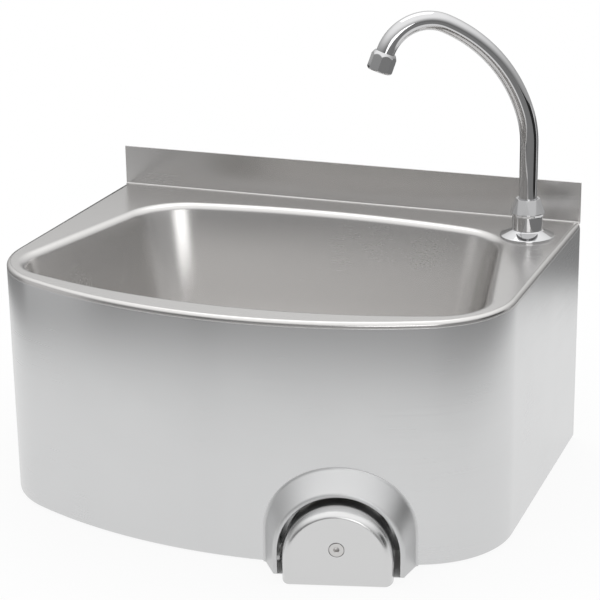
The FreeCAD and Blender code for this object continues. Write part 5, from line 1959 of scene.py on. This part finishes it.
@dataclass(frozen=True)
class Studio:
    """Floor, world, lamps, cards and camera.

    Each span holds the two values between which a shade rises.
    """

    middle: Corner = (0.0, -0.15, 0.0)
    floor_z: float = -159.5 * MM
    floor_reach: float = 3.5
    pale_paint: float = 0.8
    # painted shade: the floor's paint darkens to this far from the sink, the edge of a painted pool
    # of light that the metal reflects
    far_painted_shade: float = 0.22
    painted_pool_span: Span = (0.58, 0.74)
    shadow_share: float = 0.12
    shadow_span: Span = (0.25, 0.6)
    # painted shade: where the floor's glow is cut, below the sink and under the knee hood, over the
    # floor's real shade
    painted_shade_below_side: Span = (0.12, 0.22)
    painted_shade_below_back: Span = (-0.02, 0.02)
    painted_shade_below_front: Span = (0.22, 0.33)
    painted_shade_hood_side: Span = (0.052, 0.054)
    painted_shade_hood_front: Span = (-0.017, -0.015)
    painted_shade_hood_back: Span = (0.1, 0.2)
    front_level: float = 0.2
    back_level: float = 0.5
    top_level: float = 1.3
    horizon_span: Span = (-0.6, 0.6)
    zenith_span: Span = (0.0, 0.85)
    low_span: Span = (0.0, 0.1)
    low_lift: float = 0.1
    knee: Knee = Knee()
    spot: Corner = (0.595108, -1.701197, 0.564389)
    right: Corner = (0.93725, 0.34838, -0.01385)
    up: Corner = (-0.09971, 0.30589, 0.94683)
    lens: float = 119.44
    sensor: float = 36.0
    clip_start: float = 0.05
    card_aim: Corner = (0.19, -0.06, 0.0)

    def build(self) -> None:
        """Set up the whole studio."""
        self.camera()
        self.floor()
        self.world()
        for thing in self.lamps() + self.cards():
            thing.build()
        bpy.context.scene.view_settings.view_transform = "Standard"

    def lamps(self) -> list[Lamp]:
        """The soft boxes."""
        return [
            Lamp("overhead_box", (-0.2, 0.3, 1.5), self.middle, 1.1, 0.9, 2.4),
            Lamp("front_box", (1.15, -2.30, 0.45), self.middle, 1.1, 0.8, 6.0),
        ]

    def cards(self) -> list[Card]:
        """The low cards that give the bright plating its dark and light stripes."""
        aim = self.card_aim
        return [
            Card("right_dark_card", (1.05, 0.02, 0.02), aim, 0.62, 0.36, 0.03),
            Card("right_pale_card", (0.93, 0.42, 0.02), aim, 0.10, 0.36, 1.0),
            Card("front_dark_card", (-0.24, -0.92, 0.02), aim, 0.07, 0.36, 0.03),
            Card("left_pale_card", (-0.62, -0.50, 0.02), aim, 0.30, 0.30, 0.7),
            Card("rear_dark_card", (-0.50, 0.62, 0.02), aim, 0.60, 0.36, 0.04),
        ]

    def camera(self) -> None:
        """The view of the photograph."""
        data = bpy.data.cameras.new("view")
        data.lens = self.lens
        data.sensor_width = self.sensor
        data.clip_start = self.clip_start
        camera = in_scene(bpy.data.objects.new("view", data))
        right, up = Vector(self.right), Vector(self.up)
        turn = Matrix((right, up, right.cross(up))).transposed()
        camera.matrix_world = Matrix.Translation(self.spot) @ turn.to_4x4()
        bpy.context.scene.camera = camera

    def floor(self) -> None:
        """Pale floor that keeps the object's shadow and reads white to the camera. Its paint darkens
        away from the sink and its glow for reflections fades with it, a painted pool of light for the
        metal to reflect. Its glow is also cut below the sink and under the knee hood, which paints
        shade there.
        """
        floor = flat_sheet("floor", 2 * self.floor_reach, 2 * self.floor_reach, self.floor_z)
        material, graph = fresh_material("floor")
        point = graph.node("ShaderNodeTexCoord", output="Object")
        # Painted pool of light: the paint is pale near the sink and dark beyond, and reflections see
        # the white glow only near it.
        far = self.distance(graph, point).ramp(*self.painted_pool_span)
        paints = []
        for tone in (self.pale_paint, self.far_painted_shade):
            colour = (tone, tone, tone, 1.0)
            paints.append(graph.node("ShaderNodeBsdfDiffuse", {}, {"Color": colour}))
        paint = graph.mix(far, *paints)
        glow = graph.node("ShaderNodeEmission", {}, {"Color": WHITE})
        camera = graph.node("ShaderNodeLightPath", output="Is Camera Ray")
        mirror = graph.node("ShaderNodeLightPath", output="Is Glossy Ray")
        share = camera.larger(mirror * (1 - far)) * self.glow_share_with_painted_shade(graph, point)
        graph.node("ShaderNodeOutputMaterial", {}, {"Surface": graph.mix(share, paint, glow)})
        floor.data.materials.append(material)

    def glow_share_with_painted_shade(self, graph: Graph, point: Signal) -> Signal:
        """Find how much of the floor's white glow shows; where it is cut, shade is painted.

        Args:
            graph: The floor's graph.
            point: The point on the floor.

        Returns:
            One on the open floor, less beside the sink so that its real shadow shows, and nought
            below the sink and under the knee hood, where the cut glow paints shade over the floor's
            own real shade.
        """
        parts = graph.parts(point)
        side = parts[0].size()
        out = 0 - parts[1]
        beside = (1 - self.distance(graph, point).ramp(*self.shadow_span)) * self.shadow_share
        # Painted shade: the glow is cut below the sink and under the knee hood, so the floor shows
        # dark there.
        below = (1 - side.ramp(*self.painted_shade_below_side)) * out.ramp(*self.painted_shade_below_back)
        below = below * (1 - out.ramp(*self.painted_shade_below_front))
        across, inward = (self.along(graph, point, axis) for axis in (0, 1))
        hood = (1 - across.size().ramp(*self.painted_shade_hood_side)) * inward.ramp(*self.painted_shade_hood_front)
        hood = hood * (1 - inward.ramp(*self.painted_shade_hood_back))
        return 1 - beside.larger(below).larger(hood)

    def along(self, graph: Graph, point: Signal, axis: int) -> Signal:
        """Find how far a point lies along an axis of the knee's frame.

        Args:
            graph: The graph to add the nodes to.
            point: The point.
            axis: 0 for across, 1 for inward.

        Returns:
            The distance, with its sign.
        """
        place = self.knee.place()
        way = place.to_3x3().col[axis]
        inputs = {0: point, 1: tuple(way)}
        reach = graph.node("ShaderNodeVectorMath", {"operation": "DOT_PRODUCT"}, inputs, "Value")
        return reach - way.dot(place.to_translation())

    def distance(self, graph: Graph, point: Signal) -> Signal:
        """How far a point of the floor is from below the sink's middle."""
        inputs = {0: point, 1: (*self.middle[:2], self.floor_z)}
        return graph.node("ShaderNodeVectorMath", {"operation": "DISTANCE"}, inputs, "Value")

    def world(self) -> None:
        """White behind the object; soft tones all round for the metal to reflect."""
        world = bpy.data.worlds.new("studio")
        bpy.context.scene.world = world
        world.use_nodes = True
        graph = Graph(world.node_tree)
        _, y, z = graph.parts(graph.node("ShaderNodeTexCoord", output="Generated"))
        rise = self.back_level - self.front_level
        horizon = self.front_level + rise * y.ramp(*self.horizon_span)
        level = horizon + (self.top_level - horizon) * z.ramp(*self.zenith_span)
        level = level + (0 - z).ramp(*self.low_span) * self.low_lift
        dark = graph.node("ShaderNodeBackground", {}, {"Strength": 0.0})
        lit = {"Color": WHITE, "Strength": self.top_level}
        bright = graph.node("ShaderNodeBackground", {}, lit)
        soft = graph.mix(level * (1 / self.top_level), dark, bright)
        backdrop = graph.node("ShaderNodeBackground", {}, {"Color": WHITE})
        camera = graph.node("ShaderNodeLightPath", output="Is Camera Ray")
        graph.node("ShaderNodeOutputWorld", {}, {"Surface": graph.mix(camera, soft, backdrop)})


# ---------------------------------------------------------------- the sink


def main() -> None:
    """Build the sink piece by piece, then the studio."""
    logging.basicConfig(level=logging.INFO, format="%(message)s")
    for part in (Basin(), Apron(), KneeUnit(), Spout(), Carried()):
        part.build()
    Studio().build()


if __name__ == "__main__":
    main()
